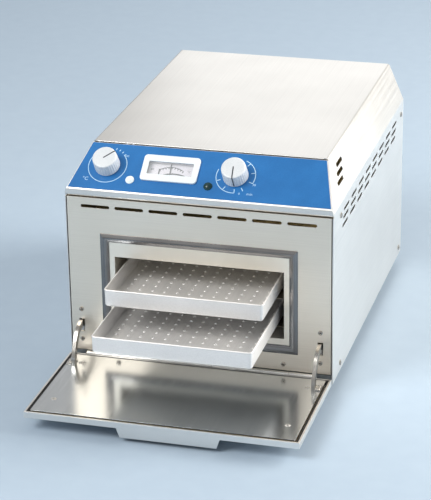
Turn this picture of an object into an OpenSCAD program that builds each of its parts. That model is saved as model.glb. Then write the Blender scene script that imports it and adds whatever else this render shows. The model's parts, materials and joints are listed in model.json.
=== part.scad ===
// Bench-top dry heat sterilizer with a drop-down door, two pull-out trays
// and a sloping control panel. Millimetres, +Z up, door towards -Y.
// The door is drawn open and both trays are drawn partly pulled out.

/* [Cabinet] */
// Overall width of the cabinet
body_w = 340; // [320:1:380]
// Depth from the fascia to the rear edge of the cover
body_d = 446; // [416:1:500]
// Height of the top above the table
body_top = 291; // [285:1:320]
// Height of the underside above the table
body_floor = 16; // [14:0.5:18]
// Height at which the sides start to lean in
shoulder_z = 241.5; // [238:0.5:246]
// Distance that each side leans in
lean_in = 21; // [8:1:26]
// Thickness of the stainless sheet
sheet = 1.2; // [0.8:0.1:1.5]
// Radius of the cover's bends
bend_r = 4; // [2.5:0.5:8]
// Width of the dark seam between the fascia and the cover
seam = 1.3; // [0.5:0.1:2]

/* [Control panel] */
// Depth of the sloping panel
panel_run = 58; // [50:1:64]
// Height of the lip at the panel's lower edge
lip_z = 247; // [244:0.2:251]
// Height of the rounded lip
lip_h = 9.6; // [7:0.2:10.4]
// Radius of the lip's fold
lip_r = 3.2; // [2:0.1:4]
// Depth of the flange under the lip
lip_flange = 10; // [6:1:12]
// Thickness of the panel sheet
panel_t = 1.5; // [1:0.1:2]
// Thickness of the blue foil
foil_t = 0.6; // [0.3:0.1:1]
// Margin of sheet left bare round the foil
foil_margin = 0.8; // [0.4:0.1:2]
// Gap between the back of the panel and the cover's edge
cover_gap = 1.2; // [0.5:0.1:2]
// Distance of the knob centres up the slope from the lip
knob_s = 36.8; // [30:0.1:42]
// Distance of the temperature knob from the panel's left end
temp_knob_in = 47.5; // [44:0.5:58]
// Distance of the timer knob from the panel's left end
timer_knob_in = 211.5; // [206:0.5:230]
// Radius of a knob at its foot
knob_r = 16; // [14:0.5:20]
// Height of the knob
knob_h = 19; // [12:0.5:22]
// Radius of the knob shaft
shaft_r = 3; // [2:0.5:4]
// Distance that a pilot lamp stands up the slope
lamp_s = 18.5; // [15:0.5:22]
// Distance of the clear pilot lamp from the panel's left end
clear_lamp_in = 80.5; // [79:0.5:84]
// Distance of the green pilot lamp from the panel's left end
green_lamp_in = 180; // [176:0.1:184]
// Radius of a pilot lamp lens
lamp_r = 5.5; // [3:0.5:6]
// Distance of the thermometer from the panel's left end
meter_in = 128.5; // [127:0.1:131]
// Place of the thermometer up the slope
meter_s = 37.8; // [36:0.1:39]
// Width of the thermometer bezel
bezel_w = 72; // [68:0.5:76]
// Height of the thermometer bezel
bezel_h = 37; // [33:0.5:40]
// Thickness of the thermometer bezel
bezel_t = 3; // [2.5:0.1:4]
// Radius of the thermometer bezel's corners
bezel_r = 4.5; // [2:0.5:6]
// Width of the thermometer window
window_w = 57; // [50:0.5:60]
// Height of the thermometer window
window_h = 18.6; // [14:0.1:20]

/* [Fascia] */
// Distance of the fascia's lower edge above the hinge axis
fascia_rise = 3.4; // [3:0.1:5]
// Gap between the fascia and the lip above it
fascia_gap = 1; // [0.5:0.1:2]
// Length of a fascia vent slot
vent_len = 37; // [30:0.1:40]
// Height of a fascia vent slot
vent_h = 4.2; // [3:0.1:6]
// Distance between fascia vent slots, centre to centre
vent_pitch = 43.75; // [41:0.05:44.4]
// Distance of the vent slots below the fascia's top edge
vent_drop = 11.2; // [8:0.1:18]
// Number of fascia vent slots
vent_count = 7; // [3:1:7]
// Distance of the arms inside the cabinet's side faces
arm_in_side = 15.7; // [15:0.1:16.4]
// Width of an arm slot
arm_slot_w = 6.8; // [5:0.1:7]
// Room above an arm in its slot
arm_slot_room = 1.2; // [0.8:0.1:3]
// Height of an arm slot
arm_slot_h = 17.5; // [16:0.5:19]
// Height of the upper fascia screws
fascia_screw_z = 84.8; // [80:0.1:100]
// Height of the hinge screws in the fascia
hinge_screw_z = 43.8; // [40:0.1:45]
// Distance of the lower frame screws from the middle
frame_screw_x = 107.5; // [100:0.5:115]
// Height of the lower frame screws
frame_screw_z = 37.3; // [35:0.1:38.5]

/* [Opening and chamber] */
// Outer width of the mitred frame
frame_w = 252; // [250:0.2:256]
// Height of the frame's lower outer edge
frame_low = 51.7; // [50.5:0.1:53]
// Height of the frame's upper outer edge
frame_top = 190.2; // [186:0.1:194]
// Width of the frame's section
frame_sec = 11; // [10:0.1:11.2]
// Height of the frame's ridge in front of the fascia
frame_proud = 2.4; // [1.5:0.1:2.5]
// Width of the chamber inside
chamber_w = 216.5; // [214:0.5:218]
// Height of the chamber floor
chamber_low = 70.9; // [69:0.1:71.2]
// Height of the chamber ceiling
chamber_top = 160; // [156:0.5:164]
// Depth of the chamber inside
chamber_d = 312; // [308:1:330]
// Thickness of the chamber wall
chamber_t = 1; // [0.8:0.1:1.2]
// Thickness of a heater plate
heater_t = 2; // [1.5:0.1:2.5]
// Distance of the insulation block inside the cabinet's side faces
insul_in = 24; // [23:0.5:30]
// Height of the insulation's underside
insul_low = 42.5; // [41.5:0.1:44]
// Height of the insulation's upper face
insul_top = 204; // [190:1:206]

/* [Trays] */
// Width of a tray over its rim
tray_w = 200.5; // [196:0.5:204]
// Length of a tray
tray_l = 290; // [250:1:292]
// Height of a tray
tray_h = 22.5; // [18:0.5:23]
// Thickness of the tray sheet
tray_t = 1.2; // [0.8:0.1:1.6]
// Radius of a tray's upright corners
tray_corner_r = 5; // [4:0.5:14]
// Height of the lower tray's rim
lower_rim_z = 108.5; // [106:0.1:111]
// Height of the upper tray's rim
upper_rim_z = 146.8; // [144:0.1:149]
// Distance that the lower tray stands out of the fascia
lower_out = 124.3; // [60:0.1:126]
// Distance that the upper tray stands out of the fascia
upper_out = 70.7; // [20:0.1:80]
// Gap under a sliding tray
slide_gap = 0.3; // [0.2:0.05:0.4]
// Height of the ledge that carries a tray
ledge_t = 0.9; // [0.6:0.1:1.2]

/* [Door] */
// Distance of the door's front face from the fascia
door_reach = 177.6; // [172:0.1:185]
// Height of the door's upper face when it is open
door_z = 25.6; // [25.2:0.1:26]
// Thickness of the door
door_t = 8; // [7.6:0.1:8.4]
// Width of the door's upturned lip
lip_w = 2.4; // [1.6:0.1:3]
// Gap between the lip and the inner plate
plate_gap = 2.8; // [2:0.1:4]
// Distance of the door's rear lip from the fascia
door_rear = 6.2; // [6.1:0.1:6.4]
// Distance of the hinge axis in front of the fascia
hinge_y = 3; // [2.95:0.05:3.1]
// Radius of the hinge pin
pin_r = 1.2; // [1:0.1:1.4]
// Radius of the hinge knuckles
knuckle_r = 2.8; // [2.5:0.1:2.8]
// Number of hinge knuckles
knuckle_count = 9; // [5:2:15]
// Distance of the hinge's ends inside the cabinet's side faces
hinge_in = 22; // [21:0.5:40]
// Width of the handle tab at the door
tab_w = 128; // [100:1:150]
// Length of the handle tab
tab_l = 12; // [6:0.5:14]
// Place of the handle tab across the door
tab_x = 10; // [0:1:12]
// Thickness of a door arm
arm_t = 4.4; // [2:0.1:4.6]
// Outer radius of a door arm about the hinge, where it leaves its slot
arm_r = 44.8; // [43:0.1:46]
// Width of the curved strip of a door arm
arm_band = 8.5; // [7:0.1:9]
// Distance of the front door screws from the fascia
door_screw_front = 136.5; // [126:0.5:145]
// Distance of the rear door screws from the fascia
door_screw_rear = 33; // [28:0.5:40]
// Distance of the door screws inside the door's side faces
door_screw_in = 24; // [23.5:0.5:30]

/* [Cover vents] */
// Length of a side vent slot
side_vent_len = 29.6; // [20:0.2:34]
// Height of a side vent slot
side_vent_h = 4; // [3:0.1:5]
// Distance between side vent slots along the cover
side_vent_pitch = 43.8; // [38:0.1:44]
// Number of slots in a row
side_vent_count = 8; // [3:1:8]
// Height of the top row
side_vent_z = 226; // [220:0.5:227]
// Distance between the rows
side_vent_rise = 9.5; // [7:0.1:12]
// Number of rows
side_vent_rows = 3; // [1:1:4]
// Distance of the first slot of the top row from the fascia
side_vent_y = 59.5; // [58:0.5:72]
// Distance that each lower row starts nearer the fascia
side_vent_step = 4.2; // [0:0.1:6]
// Height of a slot on the leaning side
lean_vent_h = 5.2; // [4:0.1:6]
// Distance of the top leaning slot from the fascia
lean_vent_y = 78; // [70:1:90]
// Distance that each lower leaning slot starts nearer the fascia
lean_vent_step = 11; // [0:0.5:12]
// Distance between the leaning slots
lean_vent_rise = 8.7; // [7.6:0.1:9.4]
// Distance of the top leaning slot from the cover's top corner
lean_vent_drop = 17.4; // [15:0.1:20]

/* [Fasteners and feet] */
// Radius of a cover screw head
cover_head_r = 3.6; // [3:0.1:4]
// Radius of a screw shank
shank_r = 1.7; // [1.5:0.1:2]
// Distance of the front cover screws from the fascia
cover_screw_front = 42; // [38:1:46]
// Distance of the rear cover screws from the cover's rear edge
cover_screw_back = 18; // [16:1:36]
// Height of the lower cover screws above the underside
cover_screw_rise = 11; // [9:0.5:16]
// Radius of a foot where it meets the base
foot_r = 11; // [8:0.5:14]
// Distance of the feet inside the cabinet's side faces
foot_in = 30; // [20:1:50]
// Distance of the front feet from the fascia
foot_front = 30; // [20:1:60]
// Distance of the rear feet from the cover's rear edge
foot_back = 36; // [30:1:66]
// Distance of the back panel inside the cover's rear edge
back_inset = 7; // [4:0.5:12]
// Place of the mains inlet across the back
inlet_x = 95; // [60:1:120]
// Height of the mains inlet
inlet_z = 57; // [52:1:80]

/* [Hidden] */
$fn = 48;

steel = "silver";
dark = "#2b2c2e";
// Gap of a running shaft or pin
run_gap = 0.05;
// Gap between pieces that lie side by side
side_gap = 0.3;
// Gap round a screw shank
screw_gap = 0.15;
// Length that a cut passes beyond a surface
past = 2;
half_w = body_w/2;
arm_x = half_w - arm_in_side;
temp_knob_x = temp_knob_in - half_w;
timer_knob_x = timer_knob_in - half_w;
clear_lamp_x = clear_lamp_in - half_w;
green_lamp_x = green_lamp_in - half_w;
meter_x = meter_in - half_w;
foot_x = half_w - foot_in;
foot_rear = body_d - foot_back;
cover_screw_rear = body_d - cover_screw_back;
cover_screw_low = body_floor + cover_screw_rise;
door_screw_x = half_w - door_screw_in;
hinge_len = 2*(half_w - hinge_in);
insul_half = half_w - insul_in;
inner_half = half_w - sheet;
panel_rise = body_top - lip_z;
panel_angle = atan2(panel_rise, panel_run);
panel_top_z = body_top - sheet - 0.4;
foil_low = lip_r*tan(45 - panel_angle/2) + 0.3;
foil_len = (panel_top_z - lip_z)/sin(panel_angle) - foil_margin - foil_low;
lean_angle = atan2(lean_in, body_top - shoulder_z);
fascia_half = inner_half - seam;
fascia_top = lip_z - lip_h - fascia_gap;
flange_d = 9;
origin_y = (door_reach - body_d)/2;
hinge_z = door_z;
fascia_low = hinge_z + fascia_rise;
arm_slot_top = hinge_z + sqrt(arm_r*arm_r - hinge_y*hinge_y) + arm_slot_room;
arm_slot_low = arm_slot_top - arm_slot_h;
plate_half = half_w - lip_w - plate_gap;
plate_front = door_reach - lip_w - plate_gap;
plate_rear = door_rear + sheet + 2;
door_low = door_z - door_t;
base_top = body_floor + sheet;
base_flange_h = 34;
back_y = body_d - back_inset - sheet;
rail_low = side_vent_z + side_vent_h/2 + 4;
rail_top = shoulder_z - 1.5;
rail_mid = (rail_low + rail_top)/2;
rail_leg = 12;
rail_front = lip_flange + 2;
cover_screw_high = side_vent_z - 0.8;
frame_half = frame_w/2;
frame_tongue = 1.6;
mitre_gap = 0.1;
hole_half = frame_half - frame_sec + frame_tongue + 0.4;
hole_low = frame_low + frame_sec - frame_tongue - 0.4;
hole_top = frame_top - frame_sec + frame_tongue + 0.4;
chamber_half = chamber_w/2;
liner_half = chamber_half + chamber_t;
liner_rear = sheet + chamber_d + chamber_t;
tray_half = tray_w/2;
upper_floor_z = upper_rim_z - tray_h;
lower_floor_z = lower_rim_z - tray_h;
arm_in = arm_r - arm_band;
// Inner and outer radius of an arm where it meets the door
arm_end_in = arm_slot_low - hinge_z + 0.8;
arm_end_r = arm_end_in + arm_band;
// Angles forward of upright between which an arm draws in to its lower radius
arm_bend = [10, 60];
arm_foot_t = 1.5;
arm_foot_w = 7;
tail_y = 4.3;
knob_gap = 0.6;
knob_edge = 1.4;
meter_pivot_s = meter_s - 21;
dial_h = 3.2;
// Thermometer case: its size, its wall, and its reach below the middle of the bezel
case_w = bezel_w - 2;
case_h = bezel_h + 6;
case_deep = 20;
case_wall = 1.5;
case_low = bezel_h/2 + 7.5;
bulb_y = sheet + chamber_d - 6;
bulb_z = chamber_top - 6;
inlet_w = 30;
inlet_h = 22;
inlet_deep = 20;
knuckle_pitch = hinge_len/knuckle_count;
knuckle_side_gap = 0.2;

// Unit vector along v
function unit(v) = v/norm(v);
// Left normal of a 2D vector
function left(v) = [-v.y, v.x];
// List in the opposite order
function reversed(p) = [for (i = [len(p) - 1:-1:0]) p[i]];
// Arc that rounds the corner b between a and c
function fillet(a, b, c, r, n = 5) = let(
    u = unit(a - b), w = unit(c - b), half = acos(u*w)/2,
    m = b + unit(u + w)*r/sin(half), p = b + u*r/tan(half) - m, q = b + w*r/tan(half) - m,
    s = atan2(p.y, p.x), turn = (atan2(q.y, q.x) - s + 540)%360 - 180)
    [for (i = [0:n]) m + r*[cos(s + turn*i/n), sin(s + turn*i/n)]];
// Open path with its inner corners rounded
function rounded(p, r) = concat([p[0]],
    [for (i = [1:len(p) - 2]) each fillet(p[i - 1], p[i], p[i + 1], r)], [p[len(p) - 1]]);
// Corner b moved t to the left of the path a-b-c
function corner_left(a, b, c, t) = let(m = unit(left(unit(b - a)) + left(unit(c - b))))
    b + m*t/(m*left(unit(b - a)));
// Open path moved t to its left
function path_left(p, t) = let(n = len(p) - 1) [for (i = [0:n])
    i == 0 ? p[0] + t*left(unit(p[1] - p[0])) :
    i == n ? p[n] + t*left(unit(p[n] - p[n - 1])) :
    corner_left(p[i - 1], p[i], p[i + 1], t)];
// Closed outline of a sheet folded along a path, with outer bends of radius r
function folded(p, t, r) = concat(rounded(p, r), reversed(rounded(path_left(p, t), r - t)));
// Open outline of the cabinet, moved t inwards, from the height low up and over
function cabinet_path(t, low) = let(
    side = half_w - t, s_z = shoulder_z - t*tan(lean_angle/2),
    top = half_w - lean_in - t*tan(45 - lean_angle/2), top_z = body_top - t)
    [[side, low], [side, s_z], [top, top_z], [-top, top_z], [-side, s_z], [-side, low]];
// Height of the plane that lies g behind the panel's face, at the depth y
function plane_z(y, g) = lip_z + y*tan(panel_angle) - g/cos(panel_angle);
// Depth of that plane at the height z
function plane_y(z, g) = (z - lip_z + g/cos(panel_angle))/tan(panel_angle);

// Puts the origin below the middle of the whole object
module set_in_frame() translate([0, origin_y, 0]) children();
// Extrudes a Y-Z outline along X, centred
module along_x(w) rotate([90, 0, 90]) linear_extrude(w, center = true) children();
// Extrudes an X-Z outline from y0 to y1
module along_y(y0, y1) translate([0, y1, 0]) rotate([90, 0, 0]) linear_extrude(y1 - y0) children();
// Box from its low corner to its high corner
module span(a, b) translate(a) cube(b - a);
// Box between two faces on both sides of the middle plane
module span_sym(half, y, z) span([-half, y[0], z[0]], [half, y[1], z[1]]);
// Cylinder along X from x0 to x1
module rod_x(x0, x1, r) translate([x0, 0, 0]) rotate([0, 90, 0]) cylinder(h = x1 - x0, r = r);
// Cylinder along Y from y0 to y1
module rod_y(y0, y1, r) translate([0, y0, 0]) rotate([-90, 0, 0]) cylinder(h = y1 - y0, r = r);
// Mirrored pair
module both_sides() {
    children();
    mirror([1, 0, 0]) children();
}
// Flat outline of a slot with round ends
module slot(len, h) {
    square([len - h, h], center = true);
    for (side = [-1, 1]) translate([side*(len - h)/2, 0]) circle(d = h);
}
// Flat outline of a rectangle with round corners
module round_rect(w, l, r) {
    square([w - 2*r, l], center = true);
    square([w, l - 2*r], center = true);
    for (x = [-1, 1], y = [-1, 1]) translate([x*(w/2 - r), y*(l/2 - r)]) circle(r);
}
// Places children on the panel's face: x across, y up the slope, z out of it
module on_panel(x, s) translate([x, 0, lip_z]) rotate([panel_angle, 0, 0]) translate([0, s, 0])
    children();
// Solid inside the cabinet's outline, moved t inwards
module cabinet_solid(t, y0, y1, low) along_y(y0, y1) polygon(rounded(cabinet_path(t, low), bend_r - t));
// Screw along -Y with its head's seat at y = 0 and its shank of length len behind it
module front_screw(head_r, head_h, len) {
    rod_y(-head_h, 0, head_r);
    rod_y(-0.01, len, shank_r);
}

// Cover: one sheet folded over the top and both sides
module housing_cover() color(steel) set_in_frame() difference() {
    along_y(0, body_d) polygon(folded(cabinet_path(0, body_floor), sheet, bend_r));
    cover_front_cut();
    both_sides() side_vents();
    both_sides() cover_screw_places() rod_x(-past - sheet, past, shank_r + screw_gap);
}
// Space in front of the cover, for the panel and its lip
module cover_front_cut() {
    g = panel_t + cover_gap;
    under = body_top - sheet - 0.2;
    along_x(body_w + 2*past) polygon([[-past, fascia_top], [g, fascia_top], [g, plane_z(g, g)],
        [plane_y(under, g), under], [panel_run, under], [panel_run, body_top + past],
        [-past, body_top + past]]);
}
// Vent slots in one side of the cover
module side_vents() {
    for (row = [0:side_vent_rows - 1], i = [0:side_vent_count - 1])
        translate([half_w, side_vent_y + side_vent_len/2 + i*side_vent_pitch - row*side_vent_step,
            side_vent_z - row*side_vent_rise])
            along_x(2*past + 2*sheet) slot(side_vent_len, side_vent_h);
    rise = norm([lean_in, body_top - shoulder_z]);
    for (row = [0:2])
        translate([half_w, 0, shoulder_z]) rotate([0, -lean_angle, 0])
            translate([0, lean_vent_y + side_vent_len/2 - row*lean_vent_step,
                rise - lean_vent_drop - row*lean_vent_rise])
            along_x(2*past + 2*sheet) slot(side_vent_len, lean_vent_h);
}
// Places of the cover screws on one side, with x = 0 on the outer face
module cover_screw_places() {
    for (y = [cover_screw_front, cover_screw_rear], z = [cover_screw_low, cover_screw_high])
        translate([half_w, y, z]) children();
}
module cover_screws() color(steel) set_in_frame() both_sides() cover_screw_places() {
    rod_x(0, 1.6, cover_head_r);
    rod_x(-sheet - 4, 0.01, shank_r);
}

// Rail along the inside of one side, which carries the cover and the fascia
module cover_rail() difference() {
    union() {
        span([inner_half - sheet, rail_front, rail_low], [inner_half, back_y, rail_top]);
        for (y = [cover_screw_front, cover_screw_rear])
            span([inner_half - sheet, y - 7, cover_screw_high - 6], [inner_half, y + 7, rail_low + 1]);
        span([inner_half - rail_leg, rail_front, rail_low], [inner_half, back_y, rail_low + sheet]);
        span([inner_half - rail_leg, back_y - sheet, rail_low], [inner_half, back_y, rail_top]);
    }
    cover_screw_places() rod_x(-sheet - 6, 0, shank_r + screw_gap);
    back_screw_places(rail_mid) rod_y(-past - sheet, past, shank_r + screw_gap);
}
module cover_rail_left() color(steel) set_in_frame() mirror([1, 0, 0]) cover_rail();
module cover_rail_right() color(steel) set_in_frame() cover_rail();

// Base pan: floor with four upturned flanges
module base_pan() color(steel) set_in_frame() {
    edge = inner_half - side_gap;
    difference() {
        union() {
            span_sym(edge, [0, back_y], [body_floor, base_top]);
            span_sym(edge, [0, sheet], [body_floor, fascia_low - 1]);
            span_sym(edge, [back_y - sheet, back_y], [body_floor, body_floor + base_flange_h]);
            both_sides() span([edge - sheet, sheet + flange_d + side_gap, body_floor],
                [edge, back_y, body_floor + base_flange_h]);
        }
        foot_places() cylinder(h = 100, r = shank_r + screw_gap, center = true);
        both_sides() cover_screw_places() rod_x(-sheet - 6, 0, shank_r + screw_gap);
        both_sides() back_screw_places(cover_screw_low + 10)
            rod_y(-past - sheet, past, shank_r + screw_gap);
        translate([inlet_x, 0, inlet_z]) span([-inlet_w/2 - 1, back_y - past - sheet, -inlet_h/2 - 1],
            [inlet_w/2 + 1, back_y + past, inlet_h/2 + 1]);
    }
}
module foot_places() for (x = [-foot_x, foot_x], y = [foot_front, foot_rear])
    translate([x, y, 0]) children();
module rubber_feet() color(dark) set_in_frame() foot_places() difference() {
    cylinder(h = body_floor, r1 = foot_r - 2, r2 = foot_r);
    translate([0, 0, -past]) cylinder(h = past + body_floor - 6, r = foot_r - 5);
    cylinder(h = body_floor + past, r = shank_r + screw_gap);
}
module foot_screws() color(steel) set_in_frame() foot_places() {
    translate([0, 0, body_floor - 8.2]) cylinder(h = 2.2, r = 3.2);
    translate([0, 0, body_floor - 6.1]) cylinder(h = 6.1 + sheet + 4, r = shank_r);
    translate([0, 0, base_top]) cylinder(h = 3, r = 3.2);
}

// Back panel, set inside the cover
module back_panel() color(steel) set_in_frame() difference() {
    cabinet_solid(sheet + side_gap, back_y, back_y + sheet, body_floor);
    both_sides() {
        back_screw_places(cover_screw_low + 10) rod_y(-past, past + sheet, shank_r + screw_gap);
        back_screw_places(rail_mid) rod_y(-past, past + sheet, shank_r + screw_gap);
    }
    translate([inlet_x, 0, inlet_z]) span([-inlet_w/2 - 0.2, back_y - past, -inlet_h/2 - 0.2],
        [inlet_w/2 + 0.2, back_y + past + sheet, inlet_h/2 + 0.2]);
    for (row = [0:3], i = [-3:3]) translate([i*vent_pitch*0.9, 0, fascia_top - 8 - row*2*vent_h])
        along_y(back_y - past, back_y + sheet + past) slot(vent_len*0.9, vent_h);
}
// Place of a back screw on the right, at the panel's inner face
module back_screw_places(z) translate([inner_half - rail_leg/2 - 1, back_y, z]) children();
module back_screws() color(steel) set_in_frame() both_sides()
    for (z = [cover_screw_low + 10, rail_mid]) back_screw_places(z) {
        rod_y(sheet, sheet + 1.8, 3.2);
        rod_y(-sheet - 3, sheet + 0.01, shank_r);
    }

// Fascia with returns at its sides and top
module fascia() color("gainsboro") set_in_frame() difference() {
    union() {
        span_sym(fascia_half, [0, sheet], [fascia_low, fascia_top]);
        both_sides() span([fascia_half - sheet, 0, fascia_low],
            [fascia_half, sheet + flange_d, fascia_top]);
        span_sym(fascia_half, [0, sheet + flange_d], [fascia_top - sheet, fascia_top]);
    }
    span_sym(hole_half, [-past, sheet + past], [hole_low, hole_top]);
    for (i = [0:vent_count - 1])
        translate([(i - (vent_count - 1)/2)*vent_pitch, 0, fascia_top - vent_drop])
            along_y(-past, sheet + past) slot(vent_len, vent_h);
    both_sides() span([arm_x - arm_slot_w/2, -past, arm_slot_low],
        [arm_x + arm_slot_w/2, sheet + past, arm_slot_top]);
    fascia_screw_places() rod_y(-past, sheet + past, shank_r + screw_gap);
}
module fascia_screw_places() both_sides() {
    translate([arm_x, 0, fascia_screw_z]) children();
    translate([arm_x, 0, hinge_screw_z]) children();
    translate([frame_screw_x, 0, frame_screw_z]) children();
}
module fascia_screws() color(steel) set_in_frame() fascia_screw_places() {
    front_screw(3, 1.9, sheet + 2.4);
    rod_y(sheet, sheet + 2, 2.8);
}

// Control panel: sloping sheet, rounded lip and the flange under it
module control_panel() color("lightgray") set_in_frame() difference() {
    intersection() {
        along_x(body_w + past) polygon(folded([[plane_y(panel_top_z, 0), panel_top_z], [0, lip_z],
            [0, lip_z - lip_h], [lip_flange, lip_z - lip_h]], panel_t, lip_r));
        cabinet_solid(0, -past, body_d, body_floor);
    }
    panel_holes();
    both_sides() span([inner_half - side_gap, panel_t, fascia_top],
        [half_w + past, lip_flange + past, lip_z - lip_h + panel_t + side_gap]);
}
// Holes through the panel and the foil
module panel_holes() {
    deep = 3*past;
    for (x = [temp_knob_x, timer_knob_x])
        on_panel(x, knob_s) cylinder(h = deep, r = shaft_r + knob_gap, center = true);
    for (x = [clear_lamp_x, green_lamp_x])
        on_panel(x, lamp_s) cylinder(h = deep, r = lamp_r - 0.4, center = true);
    on_panel(meter_x, meter_s) cube([window_w + 2, window_h + 2, deep], center = true);
}
module panel_foil() color("#2f80cc") set_in_frame() difference() {
    intersection() {
        on_panel(0, foil_low) translate([-half_w, 0, 0]) cube([body_w, foil_len, foil_t]);
        cabinet_solid(foil_margin, -past, body_d, body_floor);
    }
    panel_holes();
}

// Knob: a slightly tapered grip with a bevelled top edge and a raised pointer, turned by an angle
module knob(x, pointer) set_in_frame() on_panel(x, knob_s)
    translate([0, 0, foil_t + knob_gap]) rotate([0, 0, pointer]) difference() {
        union() {
            cylinder(h = knob_h - knob_edge, r1 = knob_r, r2 = knob_r - 0.5);
            translate([0, 0, knob_h - knob_edge])
                cylinder(h = knob_edge, r1 = knob_r - 0.5, r2 = knob_r - 0.5 - knob_edge);
            translate([-0.6, 2, knob_h - 1]) cube([1.2, knob_r - 5, 1.5]);
        }
        translate([0, 0, -1]) cylinder(h = knob_h - 3, r = shaft_r + run_gap);
    }
module temperature_knob() color("whitesmoke") knob(temp_knob_x, -49);
module timer_knob() color("whitesmoke") knob(timer_knob_x, -175);
module shaft(x) set_in_frame() on_panel(x, knob_s) translate([0, 0, -panel_t - 10])
    cylinder(h = panel_t + 10 + foil_t + knob_gap + knob_h - 5, r = shaft_r);
module temperature_shaft() color(steel) shaft(temp_knob_x);
module timer_shaft() color(steel) shaft(timer_knob_x);
// Works behind a knob, with a bearing for its shaft
module works(x, w, h, deep) set_in_frame() on_panel(x, knob_s) difference() {
    translate([-w/2, -h/2, -panel_t - deep]) cube([w, h, deep]);
    translate([0, 0, -panel_t - 12]) cylinder(h = 14, r = shaft_r + run_gap);
}
module thermostat_body() color("beige") works(temp_knob_x, 38, 32, 22);
module timer_body() color("beige") works(timer_knob_x, 36, 32, 24);

// Pilot lamps: a lens with a stem through the panel
module lamp_lens(x) set_in_frame() on_panel(x, lamp_s) {
    translate([0, 0, foil_t]) cylinder(h = 1, r = lamp_r);
    translate([0, 0, foil_t + 1]) intersection() {
        translate([0, 0, -lamp_r]) sphere(r = norm([lamp_r, lamp_r]));
        cylinder(h = 4, r = lamp_r);
    }
    translate([0, 0, -panel_t - 4]) cylinder(h = panel_t + 4 + foil_t + 0.5, r = lamp_r - 0.6);
}
module pilot_lamp_clear() color("white") lamp_lens(clear_lamp_x);
module pilot_lamp_green() color("darkgreen") lamp_lens(green_lamp_x);
module lamp_holders() color(dark) set_in_frame()
    for (x = [clear_lamp_x, green_lamp_x]) on_panel(x, lamp_s) difference() {
        translate([0, 0, -panel_t - 16]) cylinder(h = 16, r = lamp_r + 1.5);
        translate([0, 0, -panel_t - 5]) cylinder(h = 6, r = lamp_r - 0.4);
    }

// Thermometer: bezel on the foil, window in the bezel, dial and needle in a case behind
module meter_bezel() color("white") set_in_frame() on_panel(meter_x, meter_s) difference() {
    translate([0, 0, foil_t]) linear_extrude(bezel_t) round_rect(bezel_w, bezel_h, bezel_r);
    cube([window_w, window_h, 20], center = true);
    translate([-window_w/2 - 2, -window_h/2 - 2, 0]) cube([window_w + 4, window_h + 4, foil_t + 1.4]);
}
module meter_window() color("lightcyan", 0.4) set_in_frame() on_panel(meter_x, meter_s)
    translate([-window_w/2 - 1.8, -window_h/2 - 1.8, foil_t]) cube([window_w + 3.6, window_h + 3.6, 1.2]);
module meter_case() color(dark) set_in_frame() on_panel(meter_x, meter_s) difference() {
    translate([-case_w/2, -case_low, -panel_t - case_deep]) cube([case_w, case_h, case_deep]);
    translate([case_wall - case_w/2, case_wall - case_low, case_wall - panel_t - case_deep])
        cube([case_w - 2*case_wall, case_h - 2*case_wall, case_deep]);
}
module meter_dial() color("white") set_in_frame() on_panel(meter_x, meter_s) difference() {
    inset = case_wall + 0.2;
    translate([inset - case_w/2, inset - case_low, -panel_t - dial_h])
        cube([case_w - 2*inset, case_h - 2*inset, 0.8]);
    translate([0, meter_pivot_s - meter_s, -panel_t - dial_h - 1])
        cylinder(h = 4, r = 0.8 + run_gap);
}
module meter_needle() color("black") set_in_frame() on_panel(meter_x, meter_pivot_s) {
    translate([0, 0, -panel_t - 6]) cylinder(h = 4.5, r = 0.8);
    translate([0, 0, -panel_t - 2]) cylinder(h = 0.8, r = 2.5);
    rotate([0, 0, 3]) translate([-0.5, 0, -panel_t - 1.8]) cube([1, 31, 0.5]);
}

// Mitred frame: a ridge profile cut at 45 degrees where the lengths meet
module frame_profile() polygon([[0, 0], [0, -0.7], [4.2, -frame_proud], [5.4, -frame_proud],
    [frame_sec, 0.5], [frame_sec, sheet], [frame_sec - frame_tongue, sheet],
    [frame_sec - frame_tongue, 0]]);
// One length of the frame, lying along X with its outer edge at z = 0
module frame_length(half) intersection() {
    along_x(2*half) rotate(-90) frame_profile();
    long = half - mitre_gap;
    along_y(-past - frame_proud, past + sheet) polygon([[-long, 0], [long, 0],
        [long - frame_sec, -frame_sec], [frame_sec - long, -frame_sec]]);
}
module opening_frame() color("#55575a") set_in_frame() {
    mid = (frame_top + frame_low)/2;
    half_h = (frame_top - frame_low)/2;
    for (turn = [0, 180]) translate([0, 0, mid]) rotate([0, turn, 0])
        translate([0, 0, half_h]) frame_length(frame_half);
    for (turn = [90, 270]) translate([0, 0, mid]) rotate([0, turn, 0])
        translate([0, 0, frame_half]) frame_length(half_h);
}

// Chamber liner with its front flange
module chamber_liner() color("gainsboro") set_in_frame() difference() {
    union() {
        span_sym(liner_half, [sheet, liner_rear], [chamber_low - chamber_t, chamber_top + chamber_t]);
        span_sym(frame_half - 3, [sheet, sheet + chamber_t], [frame_low + 3, frame_top - 3]);
    }
    span_sym(chamber_half, [0, sheet + chamber_d], [chamber_low, chamber_top]);
    translate([0, bulb_y, bulb_z]) rod_y(0, 20, 3 + screw_gap);
}
// Rail that carries both trays at one side of the chamber
module tray_rail() {
    z_top = upper_floor_z + 6;
    ledge = chamber_half - tray_half + 5;
    y = [sheet + 4, sheet + chamber_d - 16];
    span([chamber_half - 1, y[0], chamber_low], [chamber_half, y[1], z_top]);
    for (z = [lower_floor_z, upper_floor_z])
        span([chamber_half - ledge, y[0], z - slide_gap - ledge_t], [chamber_half, y[1], z - slide_gap]);
}
module tray_rail_left() color("gray") set_in_frame() mirror([1, 0, 0]) tray_rail();
module tray_rail_right() color("gray") set_in_frame() tray_rail();

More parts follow.
